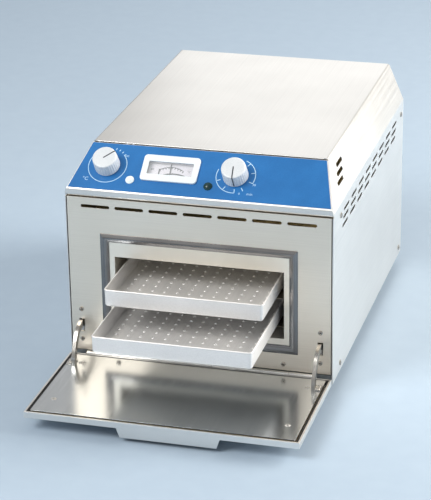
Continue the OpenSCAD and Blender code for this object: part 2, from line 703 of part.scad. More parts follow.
// Tray: pan with round upright corners and a rolled rim
module tray(rim_z, out) set_in_frame() translate([0, tray_l/2 - out, rim_z - tray_h]) difference() {
    union() {
        linear_extrude(tray_h) round_rect(tray_w - 1.6, tray_l - 1.6, tray_corner_r - 0.8);
        translate([0, 0, tray_h - 2]) linear_extrude(2) round_rect(tray_w, tray_l, tray_corner_r);
    }
    translate([0, 0, tray_t]) linear_extrude(tray_h)
        round_rect(tray_w - 1.6 - 2*tray_t, tray_l - 1.6 - 2*tray_t, tray_corner_r - 0.8 - tray_t);
}
module upper_tray() color("gainsboro") tray(upper_rim_z, upper_out);
module lower_tray() color("gainsboro") tray(lower_rim_z, lower_out);

// Heater plates above and below the chamber
module heater(z) span_sym(liner_half - 10, [30, liner_rear - 20], [z, z + heater_t]);
module heater_top() color("darkgoldenrod") set_in_frame() heater(chamber_top + chamber_t);
module heater_bottom() color("darkgoldenrod") set_in_frame()
    heater(chamber_low - chamber_t - heater_t);
// Insulation block round the chamber
module insulation() color("khaki") set_in_frame() difference() {
    span_sym(insul_half, [sheet + 2*chamber_t, liner_rear + 30], [insul_low, insul_top]);
    span_sym(liner_half + side_gap, [0, liner_rear + side_gap],
        [chamber_low - chamber_t - heater_t - side_gap, chamber_top + chamber_t + heater_t + side_gap]);
    translate([0, bulb_y, bulb_z]) rod_y(0, 60, 3 + screw_gap);
}
// Cross bars that carry the insulated chamber on the base
module chamber_supports() color(steel) set_in_frame() for (y = [50, chamber_d - 32])
    translate([0, y, 0]) difference() {
        span_sym(insul_half - 20, [0, 30], [base_top, insul_low]);
        span_sym(insul_half, [sheet, 30 - sheet], [base_top - past, insul_low - sheet]);
    }
// Sensing bulb that enters the chamber through its rear wall
module thermostat_bulb() color("peru") set_in_frame() translate([0, bulb_y, bulb_z])
    rod_y(-30, 45, 3);
// Overheat cut-out on top of the insulation
module overheat_cutout() color(dark) set_in_frame() translate([60, 200, insul_top]) {
    cylinder(h = 3, r = 12);
    cylinder(h = 14, r = 8);
}
module terminal_block() color("ivory") set_in_frame() translate([0, 0, base_top]) difference() {
    span([20, back_y - 40, 0], [68, back_y - 22, 16]);
    for (i = [0:3]) translate([26 + 12*i, back_y - 31, 6]) cylinder(h = 20, r = 2.5);
}
// Mains inlet: socket with three blades
module mains_inlet() color(dark) set_in_frame() translate([inlet_x, back_y, inlet_z]) {
    difference() {
        union() {
            span([-inlet_w/2, -inlet_deep, -inlet_h/2], [inlet_w/2, sheet, inlet_h/2]);
            span([-inlet_w/2 - 3, sheet, -inlet_h/2 - 3], [inlet_w/2 + 3, sheet + 2.5, inlet_h/2 + 3]);
        }
        span([-inlet_w/2 + 2, 2 - inlet_deep, -inlet_h/2 + 2], [inlet_w/2 - 2, 2*past + sheet, inlet_h/2 - 2]);
    }
    for (p = [[-7, -2.5], [7, -2.5], [0, 2.5]])
        translate([p[0], 0, p[1]]) span([-1, -inlet_deep + 1, -2], [1, 12 - inlet_deep, 2]);
}

// Door shell: sheet with upturned lips all round and a handle tab, drawn open
module door_shell() color("gainsboro") set_in_frame() {
    span_sym(half_w, [-door_reach, -door_rear], [door_low, door_low + sheet]);
    both_sides() span([half_w - lip_w, -door_reach, door_low], [half_w, -door_rear, door_z]);
    span_sym(half_w, [-door_reach, lip_w - door_reach], [door_low, door_z]);
    span_sym(half_w, [-door_rear - sheet, -door_rear], [door_low, door_z]);
    taper = 4.3;
    translate([tab_x, 0, door_low]) along_y(-door_reach, sheet - door_reach)
        polygon([[-tab_w/2, 1], [tab_w/2, 1], [tab_w/2, 0], [tab_w/2 - taper, -tab_l],
            [-tab_w/2 + taper, -tab_l], [-tab_w/2, 0]]);
    door_screw_places() difference() {
        translate([0, 0, door_low]) cylinder(h = door_t - sheet, r = 4);
        translate([0, 0, door_low + sheet]) cylinder(h = door_t, r = shank_r + screw_gap);
    }
}
module door_screw_places() for (x = [-door_screw_x, door_screw_x], y = [door_screw_rear, door_screw_front])
    translate([x, -y, 0]) children();
// Inner plate of the door
module door_plate() color("lightgray") set_in_frame() difference() {
    mid = (plate_front + plate_rear)/2;
    translate([0, -mid, door_z - sheet]) linear_extrude(sheet)
        round_rect(2*plate_half, plate_front - plate_rear, 2);
    door_screw_places() cylinder(h = door_z + past, r = shank_r + screw_gap);
    both_sides() arm_screw_places() cylinder(h = door_z + past, r = shank_r + screw_gap);
}
module door_insulation() color("khaki") set_in_frame() difference() {
    span_sym(plate_half - 3, [3 - plate_front, -plate_rear - 3],
        [door_low + sheet, door_z - sheet]);
    door_screw_places() cylinder(h = door_z, r = 4 + side_gap);
    both_sides() arm_screw_places() cylinder(h = door_z, r = shank_r + side_gap);
}
// Seal that lies in the gap round the plate
module door_seal() color(dark) set_in_frame() {
    low = door_low + sheet;
    outer = half_w - lip_w - side_gap;
    difference() {
        span_sym(outer, [side_gap + lip_w - door_reach, -door_rear - sheet - side_gap],
            [low, door_z - 1.5]);
        span_sym(plate_half + side_gap, [-plate_front - side_gap, side_gap - plate_rear],
            [low - past, door_z]);
    }
}
module door_screws() color(steel) set_in_frame() {
    door_screw_places() {
        translate([0, 0, door_z]) cylinder(h = 0.9, r = 3);
        translate([0, 0, door_low + sheet + 0.5]) cylinder(h = door_t - sheet - 0.4, r = shank_r);
    }
    both_sides() arm_screw_places() {
        translate([0, 0, door_z + arm_foot_t]) cylinder(h = 0.9, r = 2.6);
        translate([0, 0, door_low + sheet + 0.5]) cylinder(h = door_t - sheet + 1.1, r = shank_r);
    }
}
// Places of the screws in an arm's foot
module arm_screw_places() for (along = [-1.6, 5])
    translate([arm_x + arm_t/2 + 2.8, -hinge_y - arm_end_in - along, 0]) children();
// Share of the way from the arm's upper radius to its lower one, at an angle forward of upright
function arm_share(turn) = let(part = (turn - arm_bend[0])/(arm_bend[1] - arm_bend[0]))
    (1 - cos(180*max(0, min(1, part))))/2;
// Points of a curved edge of the arm about the hinge, from behind the fascia down to the door
function arm_edge(upper, lower) = [for (turn = [-15:3:90])
    (upper + (lower - upper)*arm_share(turn))*[-sin(turn), cos(turn)]];
// Curved arm about the hinge axis, with a foot on the door and a stop behind the fascia
module door_arm() difference() {
    union() {
        translate([arm_x, -hinge_y, hinge_z]) intersection() {
            along_x(arm_t) polygon(concat(arm_edge(arm_r, arm_end_r), reversed(arm_edge(arm_in, arm_end_in))));
            span([-arm_t, -arm_r - 1, 0], [arm_t, hinge_y + tail_y, arm_r + 1]);
        }
        span([arm_x - arm_t/2, sheet + side_gap, arm_slot_low - 2],
            [arm_x + arm_t/2, tail_y, hinge_z + arm_in + 1]);
        span([arm_x - arm_t/2, -hinge_y - arm_end_r, hinge_z],
            [arm_x + arm_t/2 + arm_foot_w, 5 - hinge_y - arm_end_in, hinge_z + arm_foot_t]);
    }
    arm_screw_places() cylinder(h = 2*hinge_z, r = shank_r + screw_gap);
}
module door_arm_left() color(steel) set_in_frame() mirror([1, 0, 0]) door_arm();
module door_arm_right() color(steel) set_in_frame() door_arm();

// Hinge: leaf strips with knuckles in turn, and one pin
// Knuckles number first, first + 2 and so on, each with a tab from y0 to y1
module knuckles(first, y0, y1) difference() {
    for (i = [first:2:knuckle_count - 1]) {
        x0 = -hinge_len/2 + i*knuckle_pitch + knuckle_side_gap;
        x1 = x0 + knuckle_pitch - 2*knuckle_side_gap;
        translate([0, -hinge_y, hinge_z]) rod_x(x0, x1, knuckle_r);
        span([x0, y0, hinge_z - 4], [x1, y1, hinge_z]);
    }
    translate([0, -hinge_y, hinge_z]) rod_x(-half_w, half_w, pin_r + run_gap);
}
module hinge_leaf_body() color(steel) set_in_frame() {
    span_sym(hinge_len/2, [-sheet, 0], [door_low + 0.5, hinge_z - 3]);
    knuckles(0, -sheet, 0);
}
module hinge_leaf_door() color(steel) set_in_frame() {
    span_sym(hinge_len/2, [-door_rear, sheet - door_rear], [door_low + 0.5, hinge_z - 3]);
    knuckles(1, -door_rear, sheet - door_rear);
}
module hinge_pin() color(steel) set_in_frame() translate([0, -hinge_y, hinge_z])
    rod_x(-hinge_len/2 - 1, hinge_len/2 + 1, pin_r);

housing_cover();
cover_rail_left();
cover_rail_right();
base_pan();
rubber_feet();
foot_screws();
back_panel();
back_screws();
cover_screws();
fascia();
fascia_screws();
control_panel();
panel_foil();
temperature_knob();
temperature_shaft();
thermostat_body();
timer_knob();
timer_shaft();
timer_body();
pilot_lamp_clear();
pilot_lamp_green();
lamp_holders();
meter_bezel();
meter_window();
meter_dial();
meter_needle();
meter_case();
opening_frame();
chamber_liner();
tray_rail_left();
tray_rail_right();
upper_tray();
lower_tray();
heater_top();
heater_bottom();
insulation();
chamber_supports();
thermostat_bulb();
overheat_cutout();
terminal_block();
mains_inlet();
door_shell();
door_plate();
door_insulation();
door_seal();
door_screws();
door_arm_left();
door_arm_right();
hinge_leaf_body();
hinge_leaf_door();
hinge_pin();
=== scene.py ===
# %% [markdown]
# A bench-top dry heat sterilizer: a folded stainless cabinet with a sloping blue control panel,
# a drop-down door, and two perforated aluminium trays that are partly pulled out.
# Its solids arrive packed in one fixed frame, in metres, with +Z up and the door towards -Y.
# This script dresses them. Sheet metal is copied and its edges are softened, small things that
# repeat grow from node trees, and every surface gets a material named for what it is made of.

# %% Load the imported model
import json
import math

import bmesh
import bpy
from mathutils import Matrix, Vector


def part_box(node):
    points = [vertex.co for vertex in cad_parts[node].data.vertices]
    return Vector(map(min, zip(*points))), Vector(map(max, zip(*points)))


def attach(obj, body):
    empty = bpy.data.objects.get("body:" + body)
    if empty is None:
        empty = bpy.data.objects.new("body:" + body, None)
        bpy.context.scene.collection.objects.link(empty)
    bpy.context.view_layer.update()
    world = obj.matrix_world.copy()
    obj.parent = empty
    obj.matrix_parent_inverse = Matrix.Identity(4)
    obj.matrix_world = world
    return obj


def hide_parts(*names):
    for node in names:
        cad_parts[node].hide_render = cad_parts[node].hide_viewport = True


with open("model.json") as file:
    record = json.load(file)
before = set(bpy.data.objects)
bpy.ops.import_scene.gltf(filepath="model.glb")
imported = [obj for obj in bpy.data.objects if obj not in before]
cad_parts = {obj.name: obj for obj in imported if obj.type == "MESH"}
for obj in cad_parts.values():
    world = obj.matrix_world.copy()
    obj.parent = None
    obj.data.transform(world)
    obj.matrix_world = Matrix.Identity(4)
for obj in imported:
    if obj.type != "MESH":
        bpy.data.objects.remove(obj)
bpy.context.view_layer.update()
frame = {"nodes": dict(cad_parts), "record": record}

MM = 0.001

# %% [markdown]
# The camera comes first, because everything is judged through it. The photograph was taken with
# a long lens from the front, a little to the right and about 23 degrees above the object. Place
# and turn were found by fitting the object's corners, so no lens shift is needed.

# %% Place the camera
CAMERA_PLACE = (0.668574, -2.419069, 1.171072)
CAMERA_YAW, CAMERA_PITCH, CAMERA_ROLL = 0.27557, -0.39464, 0.01618
CAMERA_LENS, CAMERA_SENSOR = 151.436, 36
FAR_CLIP = 100

camera_data = bpy.data.cameras.new("camera")
camera_data.sensor_width = CAMERA_SENSOR
camera_data.lens = CAMERA_LENS
camera_data.clip_end = FAR_CLIP
camera = bpy.data.objects.new("camera", camera_data)
bpy.context.scene.collection.objects.link(camera)
camera.matrix_world = (
    Matrix.Translation(CAMERA_PLACE)
    @ Matrix.Rotation(CAMERA_YAW, 4, "Z")
    @ Matrix.Rotation(CAMERA_PITCH, 4, "X")
    @ Matrix.Rotation(CAMERA_ROLL, 4, "Y")
    @ Matrix.Rotation(math.pi / 2, 4, "X")
)
bpy.context.scene.camera = camera
print("camera looks down", round(-math.degrees(CAMERA_PITCH), 1), "degrees")

# %% [markdown]
# Node trees make both the materials and the repeated pieces. One helper adds a node, sets its
# fields and fills its inputs: a plain value goes into the socket, and another node's output is
# linked to it. A second one does a step of arithmetic, and a third turns the hex colours that
# people know into linear light.

# %% Helpers for node trees
def add(tree, kind, inputs=None, **fields):
    """Adds a node with its fields set, and its inputs filled or linked."""
    made = tree.nodes.new(kind)
    for field, value in fields.items():
        setattr(made, field, value)
    for socket, value in (inputs or {}).items():
        if isinstance(value, bpy.types.NodeSocket):
            tree.links.new(value, made.inputs[socket])
        else:
            made.inputs[socket].default_value = value
    return made


def maths(tree, operation, first, second):
    """The result of one step of arithmetic on two values or sockets."""
    return add(tree, "ShaderNodeMath", {0: first, 1: second}, operation=operation).outputs[0]


def linear(hex_colour):
    """Linear RGBA of an sRGB hex colour."""
    steps = [int(hex_colour[i:i + 2], 16) / 255 for i in (1, 3, 5)]
    light = [c / 12.92 if c <= 0.04045 else ((c + 0.055) / 1.055) ** 2.4 for c in steps]
    return (*light, 1.0)


print("mid grey is", round(linear("#808080")[0], 3), "in linear light")

# %% [markdown]
# No real surface is one even colour. Each finish here has a fine noise for its scratches or its
# grain, and a coarse one for slow clouds. Together they mix two close tones, and the fine one
# also moves the gloss and the relief, so that colour, shine and bumps agree. All finishes end in
# this way, so one helper does it.

# %% Helpers for the finishes
FINISHES = {}
# Noise values that stand for the two ends of a range: of one noise, and of two added together
NOISE_SPAN, SUM_SPAN = (0.3, 0.7), (0.7, 1.3)
RELIEF_STRENGTH = 0.5


def new_material(name):
    """An empty node material and its tree."""
    made = bpy.data.materials.new(name)
    made.use_nodes = True
    made.node_tree.nodes.clear()
    return made, made.node_tree


def finished(made, fine, clouds, tones, gloss_ends, depth, sockets):
    """Ends a material: both noises mix its tones, and the fine one its gloss and relief in mm."""
    tree = made.node_tree
    share = add(tree, "ShaderNodeMapRange",
                {"Value": maths(tree, "ADD", fine, clouds),
                 "From Min": SUM_SPAN[0], "From Max": SUM_SPAN[1]})
    tone = add(tree, "ShaderNodeMix",
               {"Factor": share.outputs[0], 6: linear(tones[0]), 7: linear(tones[1])},
               data_type="RGBA")
    gloss = add(tree, "ShaderNodeMapRange",
                {"Value": fine, "From Min": NOISE_SPAN[0], "From Max": NOISE_SPAN[1],
                 "To Min": gloss_ends[0], "To Max": gloss_ends[1]})
    relief = add(tree, "ShaderNodeBump",
                 {"Height": fine, "Distance": depth * MM, "Strength": RELIEF_STRENGTH})
    surface = add(tree, "ShaderNodeBsdfPrincipled",
                  {"Base Color": tone.outputs[2], "Roughness": gloss.outputs[0],
                   "Normal": relief.outputs[0], **sockets})
    add(tree, "ShaderNodeOutputMaterial", {"Surface": surface.outputs[0]})
    return made


print("one noise runs from", NOISE_SPAN[0], "to", NOISE_SPAN[1])

# %% [markdown]
# Sheet steel carries the marks of its making. Rolling and brushing leave fine parallel scratches
# that spread a reflection across them, and large sheets show clouds where the polish varies.
# A stretched noise in Object coordinates gives the scratches, and its scale comes from the
# scratch size in millimetres. Real scratches are 0.05 mm wide: they are drawn 0.6 to 2 mm wide,
# or no render of the whole object would show them.

# %% Metal finishes
def metal(name, dark, light, roughness, spread, scratch, cloud=120, depth=0.02, metallic=1.0):
    """Metal between two tones, with scratches and clouds whose sizes are in millimetres."""
    made, tree = new_material(name)
    place = add(tree, "ShaderNodeTexCoord").outputs["Object"]
    stretched = add(tree, "ShaderNodeMapping",
                    {"Vector": place, "Scale": [1 / (size * MM) for size in scratch]})
    scratches = add(tree, "ShaderNodeTexNoise",
                    {"Vector": stretched.outputs[0], "Scale": 1, "Detail": 3, "Roughness": 0.65})
    clouds = add(tree, "ShaderNodeTexNoise",
                 {"Vector": place, "Scale": 1 / (cloud * MM), "Detail": 2})
    return finished(made, scratches.outputs[0], clouds.outputs[0], (dark, light),
                    (roughness - spread, roughness + spread), depth, {"Metallic": metallic})


# Satin stainless of the cover: rolled along its depth, soft wide reflections
FINISHES["stainless_satin"] = metal("satin_stainless_rolled", "#DEDDDA", "#EBEAE7", 0.4, 0.03,
                                    (1.2, 160, 1.2), depth=0.006)
# Brushed stainless of the fascia: long scratches from side to side
FINISHES["stainless_brushed"] = metal("brushed_stainless", "#EAE0D1", "#F4EBDD", 0.38, 0.03,
                                      (140, 0.8, 0.8), depth=0.005)
# Polished stainless of the door plate: near mirror, with faint polishing waves
FINISHES["stainless_polished"] = metal("polished_stainless", "#CED3D6", "#DADEE1", 0.19, 0.03,
                                       (2, 120, 2), depth=0.01)
# Frame steel: its dark tones are painted dark reflection and shade, streaky along its lengths
FINISHES["frame_steel"] = metal("frame_steel_painted_dark_reflection", "#747373", "#949393", 0.28, 0.04,
                                (400, 1.2, 400), 60, 0.004)
# Zinc-plated screws: small bright heads
FINISHES["zinc_screw"] = metal("zinc_plated_steel", "#AFA9A0", "#D2CCC2", 0.26, 0.06,
                               (0.8, 0.8, 0.8), 6)
# Tray aluminium: etched matt and near white, so that half of its light is scattered
FINISHES["tray_aluminium"] = metal("etched_aluminium", "#E4E3E2", "#F1F0EF", 0.42, 0.04,
                                   (1.5, 60, 1.5), 60, 0.008, metallic=0.45)
# Plain mill-finish steel of the inner sheet parts
FINISHES["base_steel"] = metal("galvanised_steel", "#8E9294", "#B0B4B6", 0.42, 0.08, (6, 6, 6), 20)
# Copper capillary bulb
FINISHES["copper"] = metal("drawn_copper", "#A8623E", "#C98662", 0.28, 0.05, (1, 20, 1), 20)
print("metals:", sorted(FINISHES))

# %% [markdown]
# Plastics, rubber, print and wool scatter light instead. Each has a base colour that wanders a
# little, a grain for its roughness and relief, and an IOR of 1.5. The grain is 0.6 to 1.2 mm on
# mouldings and print, and larger on wool, whose tufts are a few millimetres long.

# %% Other finishes
GLOSS_SHARE = 0.15


def solid(name, dark, light, roughness, grain, depth=0.03, cloud=25, **sockets):
    """A non-metal between two tones, with a grain in millimetres and its relief."""
    made, tree = new_material(name)
    place = add(tree, "ShaderNodeTexCoord").outputs["Object"]
    speckle = add(tree, "ShaderNodeTexNoise",
                  {"Vector": place, "Scale": 1 / (grain * MM), "Detail": 3})
    clouds = add(tree, "ShaderNodeTexNoise", {"Vector": place, "Scale": 1 / (cloud * MM)})
    gloss_ends = (roughness * (1 - GLOSS_SHARE), min(1, roughness * (1 + GLOSS_SHARE)))
    return finished(made, speckle.outputs[0], clouds.outputs[0], (dark, light), gloss_ends, depth,
                    {"IOR": 1.5, **sockets})


# Polyester foil, screen printed blue under a satin face
FINISHES["panel_foil"] = solid("printed_polyester_foil", "#1C69AB", "#2473B7", 0.34, 1.2, 0.006)
# ABS knobs and bezel, moulded white and smooth
FINISHES["knob_plastic"] = solid("white_moulded_abs", "#D3D9DE", "#E0E4E8", 0.28, 0.8, 0.01)
FINISHES["bezel_plastic"] = solid("white_moulded_bezel", "#E2ECF0", "#F0F6F8", 0.3, 0.8, 0.01)
# Lenses and window, the dial's card and the enamelled needle behind it
FINISHES["lens_clear"] = solid("frosted_polycarbonate", "#E2F0F4", "#F4FAFB", 0.18, 0.6, 0.02)
FINISHES["lens_green"] = solid("green_polycarbonate", "#0E2E30", "#1E4A4C", 0.12, 0.6, 0.02)
FINISHES["window_clear"] = solid("clear_acrylic", "#E8F2F4", "#F4FAFA", 0.06, 2, 0.002,
                                 Alpha=0.15)
FINISHES["dial_paper"] = solid("printed_dial_card", "#F2ECF8", "#FCF8FE", 0.6, 0.6, 0.01)
FINISHES["needle_black"] = solid("black_enamel", "#16181C", "#24262C", 0.35, 0.6, 0.01)
# Mouldings of the works, rubber of the feet and silicone of the door's seal
FINISHES["moulded_dark"] = solid("black_phenolic", "#1B1C1E", "#2B2C2F", 0.45, 0.7, 0.03)
FINISHES["works_plastic"] = solid("ivory_phenolic", "#D6CCB2", "#E4DCC6", 0.5, 0.8, 0.03)
FINISHES["rubber_black"] = solid("black_rubber", "#17181A", "#232427", 0.75, 0.6, 0.05)
FINISHES["seal_black"] = solid("black_silicone", "#141416", "#1E1E21", 0.6, 0.8, 0.04)
# Wool round the chamber and mica of its heater plates
FINISHES["insulation_wool"] = solid("mineral_wool", "#A88E54", "#CDB680", 0.95, 3, 0.8)
FINISHES["heater_mica"] = solid("mica_sheet", "#8C6A36", "#B08C50", 0.4, 4, 0.05)
# Inks of the printed foil and dial
INK_BLUE = solid("pale_blue_ink", "#B0D8F6", "#C4E4FB", 0.4, 0.6, 0.01)
INK_DARK = solid("grey_ink", "#2A2E36", "#3A3F48", 0.5, 0.6, 0.01)
print("finishes:", len(FINISHES))

# %% [markdown]
# One kind of steel doesn't look the same all over the object. The liner's front flange was bright
# annealed and stays pale, the arms are a drawn band that is greyer than the sheets, and the rails
# inside the chamber get a dark brown that is painted shade, for the shade that they sit in. These
# finishes take the place of the slot's own.

# %% Steel that looks different in its place
PALE_LINER = metal("bright_annealed_stainless", "#EFE9DC", "#F8F3E8", 0.42, 0.03, (90, 1, 90), 80,
                   0.004, metallic=0.85)
ARM_STEEL = metal("drawn_steel_arm", "#A3A19D", "#BEBCB8", 0.24, 0.05, (0.6, 8, 8), 30, 0.01)
# Rails inside the chamber: a dark brown that is painted shade
RAIL_IN_PAINTED_SHADE = metal("rail_steel_painted_shade", "#5A554C", "#7C766A", 0.45, 0.05, (2, 60, 2), 30, 0.01)
# Screws of the door plate: paler and less metallic than the plate that they sit on, as painted
# highlight
DOOR_SCREW_PAINTED_HIGHLIGHT = metal("door_screw_painted_highlight", "#D8D6D1", "#E8E6E2", 0.28, 0.05, (0.8, 0.8, 0.8), 6,
                     metallic=0.72)
OTHER_FINISH = {
    "chamber_liner": PALE_LINER, "tray_rail_left": RAIL_IN_PAINTED_SHADE, "tray_rail_right": RAIL_IN_PAINTED_SHADE,
    "door_arm_left": ARM_STEEL, "door_arm_right": ARM_STEEL, "door_screws": DOOR_SCREW_PAINTED_HIGHLIGHT,
}
print("solids with a finish of their own:", len(OTHER_FINISH))

# %% [markdown]
# Each solid names its finish in the imported record. A piece is dressed in one step: it gets its
# material, rides on the body that its solid belongs to, and hides the solid that it stands for.

# %% Helpers that dress a piece
SMOOTH_BELOW = 35
BODY_OF = {node: body for body, nodes in frame["record"]["behaviour"]["bodies"].items()
           for node in nodes}
SLOT_OF = {part["node"]: part["material_slot"] for part in frame["record"]["subparts"]}


def to_object(name, mesh):
    """A mesh as an object of the scene."""
    made = bpy.data.objects.new(name, mesh)
    bpy.context.scene.collection.objects.link(made)
    return made


def dress(piece, node, stands_for=True, material=None):
    """Gives a piece the finish and the body of a solid, which it may stand for.

    A piece of trim stands for no solid, and may bring a material of its own.
    """
    piece.data.materials.clear()
    piece.data.materials.append(material or FINISHES[SLOT_OF[node]])
    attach(piece, BODY_OF[node])
    if stands_for:
        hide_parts(node)
    return piece


def smooth(mesh, degrees=SMOOTH_BELOW):
    """Smooth shading with sharp edges kept above an angle."""
    mesh.shade_smooth()
    mesh.set_sharp_from_angle(angle=math.radians(degrees))


print("bodies:", sorted(set(BODY_OF.values())))

# %% [markdown]
# Pressed and folded sheet has no razor edges: each edge has a small radius that catches a thin
# line of light. A bevel on a copy of the solid gives it. The solid's mesh is loose triangles, so
# the copy is welded first and its flat triangles are joined, or the bevel would cut every one.

# %% Helpers that soften a solid's edges
WELD = 0.002 * MM
# In degrees: faces that differ less are one flat face, and edges that bend more are softened
FLAT_BELOW, SOFT_ABOVE = 1, 28


def welded(mesh):
    """The loose triangles of a mesh with their shared corners joined."""
    shape = bmesh.new()
    shape.from_mesh(mesh)
    bmesh.ops.remove_doubles(shape, verts=shape.verts, dist=WELD)
    return shape


def seen_mesh(piece):
    """What a piece shows, with its modifiers or its letters, as a plain mesh."""
    seen = piece.evaluated_get(bpy.context.evaluated_depsgraph_get())
    return bpy.data.meshes.new_from_object(seen)


def applied(piece):
    """Keeps what the modifiers of a piece make, and takes them off."""
    made = seen_mesh(piece)
    piece.modifiers.clear()
    piece.data = made
    return piece


def softened(node, radius):
    """A copy of a solid whose edges have a small radius, in millimetres."""
    source = frame["nodes"][node].data
    mesh = bpy.data.meshes.new(node + "_soft")
    mesh.from_pydata([v.co for v in source.vertices], [], [p.vertices[:] for p in source.polygons])
    shape = welded(mesh)
    bmesh.ops.dissolve_limit(shape, angle_limit=math.radians(FLAT_BELOW), verts=shape.verts,
                             edges=shape.edges)
    shape.to_mesh(mesh)
    shape.free()
    smooth(mesh)
    piece = to_object(node + "_soft", mesh)
    bevel = piece.modifiers.new("soft edges", "BEVEL")
    bevel.width = radius * MM
    bevel.segments = 2
    bevel.limit_method = "ANGLE"
    bevel.angle_limit = math.radians(SOFT_ABOVE)
    bevel.harden_normals = True
    return applied(piece)


print("corners closer than", WELD / MM, "mm are joined")

# %% [markdown]
# Each part has its own edge radius: a moulded bezel is rounder than a folded sheet, and a printed
# foil has almost none. The door's inner plate is also drawn in a little from its sides, so that
# the black seal shows round it as a dark line, as on the real door.

# %% Soften the sheet metal and the moulded parts
# Edge radius of each softened solid, and the room left round the door's plate, in millimetres
SOFT_EDGES = {
    "housing_cover": 0.4, "base_pan": 0.4, "back_panel": 0.3, "fascia": 0.3,
    "control_panel": 0.35, "panel_foil": 0.12, "meter_bezel": 1.1, "opening_frame": 0.2,
    "chamber_liner": 0.3, "door_shell": 0.45, "door_plate": 0.35, "door_arm_left": 0.5,
    "door_arm_right": 0.5, "hinge_leaf_body": 0.25, "hinge_leaf_door": 0.25,
    "rubber_feet": 0.8, "mains_inlet": 0.5, "tray_rail_left": 0.2, "tray_rail_right": 0.2,
}
PLATE_ROOM = 1.0


def box_of(corners):
    """The lowest and the highest corner of the box round some mesh corners."""
    return [Vector([side(corner.co[i] for corner in corners) for i in range(3)])
            for side in (min, max)]


def drawn_in(piece, room):
    """Draws a flat piece in from the sides of its box, so that the gap round it widens."""
    low, high = box_of(piece.data.vertices)
    middle, size = (low + high) / 2, high - low
    share = [1 - 2 * room * MM / size.x, 1 - 2 * room * MM / size.y, 1]
    piece.data.transform(Matrix.Translation(middle) @ Matrix.Diagonal((*share, 1))
                         @ Matrix.Translation(-middle))


for node, radius in SOFT_EDGES.items():
    piece = softened(node, radius)
    if node == "door_plate":
        drawn_in(piece, PLATE_ROOM)
    dress(piece, node, True, OTHER_FINISH.get(node))
    print(node, len(piece.data.polygons), "faces")

# %% [markdown]
# Knobs, lamps and print all sit on the sloping panel. Its slope follows from how far it runs
# back and rises, and one matrix carries every place on it, so that each piece is drawn flat and
# then set on the slope.

# %% Find the slope of the panel
LIP_Z, PANEL_RUN, PANEL_RISE = 247 * MM, 58 * MM, 44 * MM
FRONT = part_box("fascia")[0].y
PANEL_ANGLE = math.atan2(PANEL_RISE, PANEL_RUN)
PANEL = Matrix.Translation((0, FRONT, LIP_Z)) @ Matrix.Rotation(PANEL_ANGLE, 4, "X")
FOIL_TOP = 0.6
# Places on the panel in millimetres: across from its middle, and up the slope from its lip
TEMPERATURE_KNOB, TIMER_KNOB = (-122.5, 36.8), (41.5, 36.8)
CLEAR_LAMP, GREEN_LAMP = (-89.5, 18.5), (10, 18.5)


def on_panel(across, slope, turn=0, out=FOIL_TOP):
    """Place on the panel in mm: across, up the slope, a turn in degrees and a height."""
    return (PANEL @ Matrix.Translation((across * MM, slope * MM, out * MM))
            @ Matrix.Rotation(math.radians(turn), 4, "Z"))


print("the panel slopes", round(math.degrees(PANEL_ANGLE), 1), "degrees")

# %% [markdown]
# A lathe makes a round shape from its half profile, and that is the natural way to make knobs,
# lenses and beads. This one also cuts flutes into the steep part of a profile, by drawing points
# in with a cosine of their angle.

# %% Helper that turns a profile
FLUTED_RISE = 2
TURNED_SMOOTH = 40


def as_object(name, shape, place):
    """A finished bmesh as an object at a place."""
    mesh = bpy.data.meshes.new(name)
    shape.to_mesh(mesh)
    shape.free()
    mesh.transform(place)
    return to_object(name, mesh)


def turned(name, profile, place, steps, flutes=0, flute_depth=0):
    """A closed mesh turned from (radius, height) points in mm, with flutes on its steep sides."""
    shape = bmesh.new()
    rings = []
    for row, (radius, height) in enumerate(profile):
        inner = 0 < row < len(profile) - 1
        steep = inner and abs(profile[row + 1][1] - profile[row - 1][1]) > FLUTED_RISE
        rings.append([])
        for i in range(steps if radius else 1):
            turn = math.tau * i / steps
            groove = steep * flute_depth * (1 - math.cos(flutes * turn)) / 2
            reach = (radius - groove) * MM
            rings[-1].append(shape.verts.new((reach * math.cos(turn), reach * math.sin(turn),
                                              height * MM)))
    for low, high in zip(rings, rings[1:]):
        for i in range(steps):
            j = (i + 1) % steps
            corners = [low[i % len(low)], low[j % len(low)],
                       high[j % len(high)], high[i % len(high)]]
            shape.faces.new(list(dict.fromkeys(corners)))
    piece = as_object(name, shape, place)
    smooth(piece.data, TURNED_SMOOTH)
    return piece


print("flutes are cut where a profile rises more than", FLUTED_RISE, "mm")

# %% [markdown]
# The knobs are tall grips with fine flutes that narrow a little towards a rounded top edge, with
# a shallow dish on top. The pointer is an inlaid dark line that runs from the middle over the
# edge and down the grip, so it is a ribbon that follows the same profile.

# %% Turn the knobs
def ribbon(name, line, width, thick, place):
    """A strip of a width and thickness in mm that follows (distance, height) points."""
    shape = bmesh.new()
    rows = []
    for i, point in enumerate(line):
        before, after = Vector(line[max(i - 1, 0)]), Vector(line[min(i + 1, len(line) - 1)])
        along = (after - before).normalized()
        normal = Vector((-along.y, along.x))
        rows.append([])
        for side, out in ((-1, 0.5), (1, 0.5), (1, -0.5), (-1, -0.5)):
            spot = Vector(point) + normal * out * thick
            rows[-1].append(shape.verts.new((side * width / 2 * MM, spot.x * MM, spot.y * MM)))
    for low, high in zip(rows, rows[1:]):
        for i in range(4):
            shape.faces.new((low[i], low[(i + 1) % 4], high[(i + 1) % 4], high[i]))
    shape.faces.new(rows[0])
    shape.faces.new(rows[-1])
    bmesh.ops.recalc_face_normals(shape, faces=shape.faces)
    return as_object(name, shape, place)


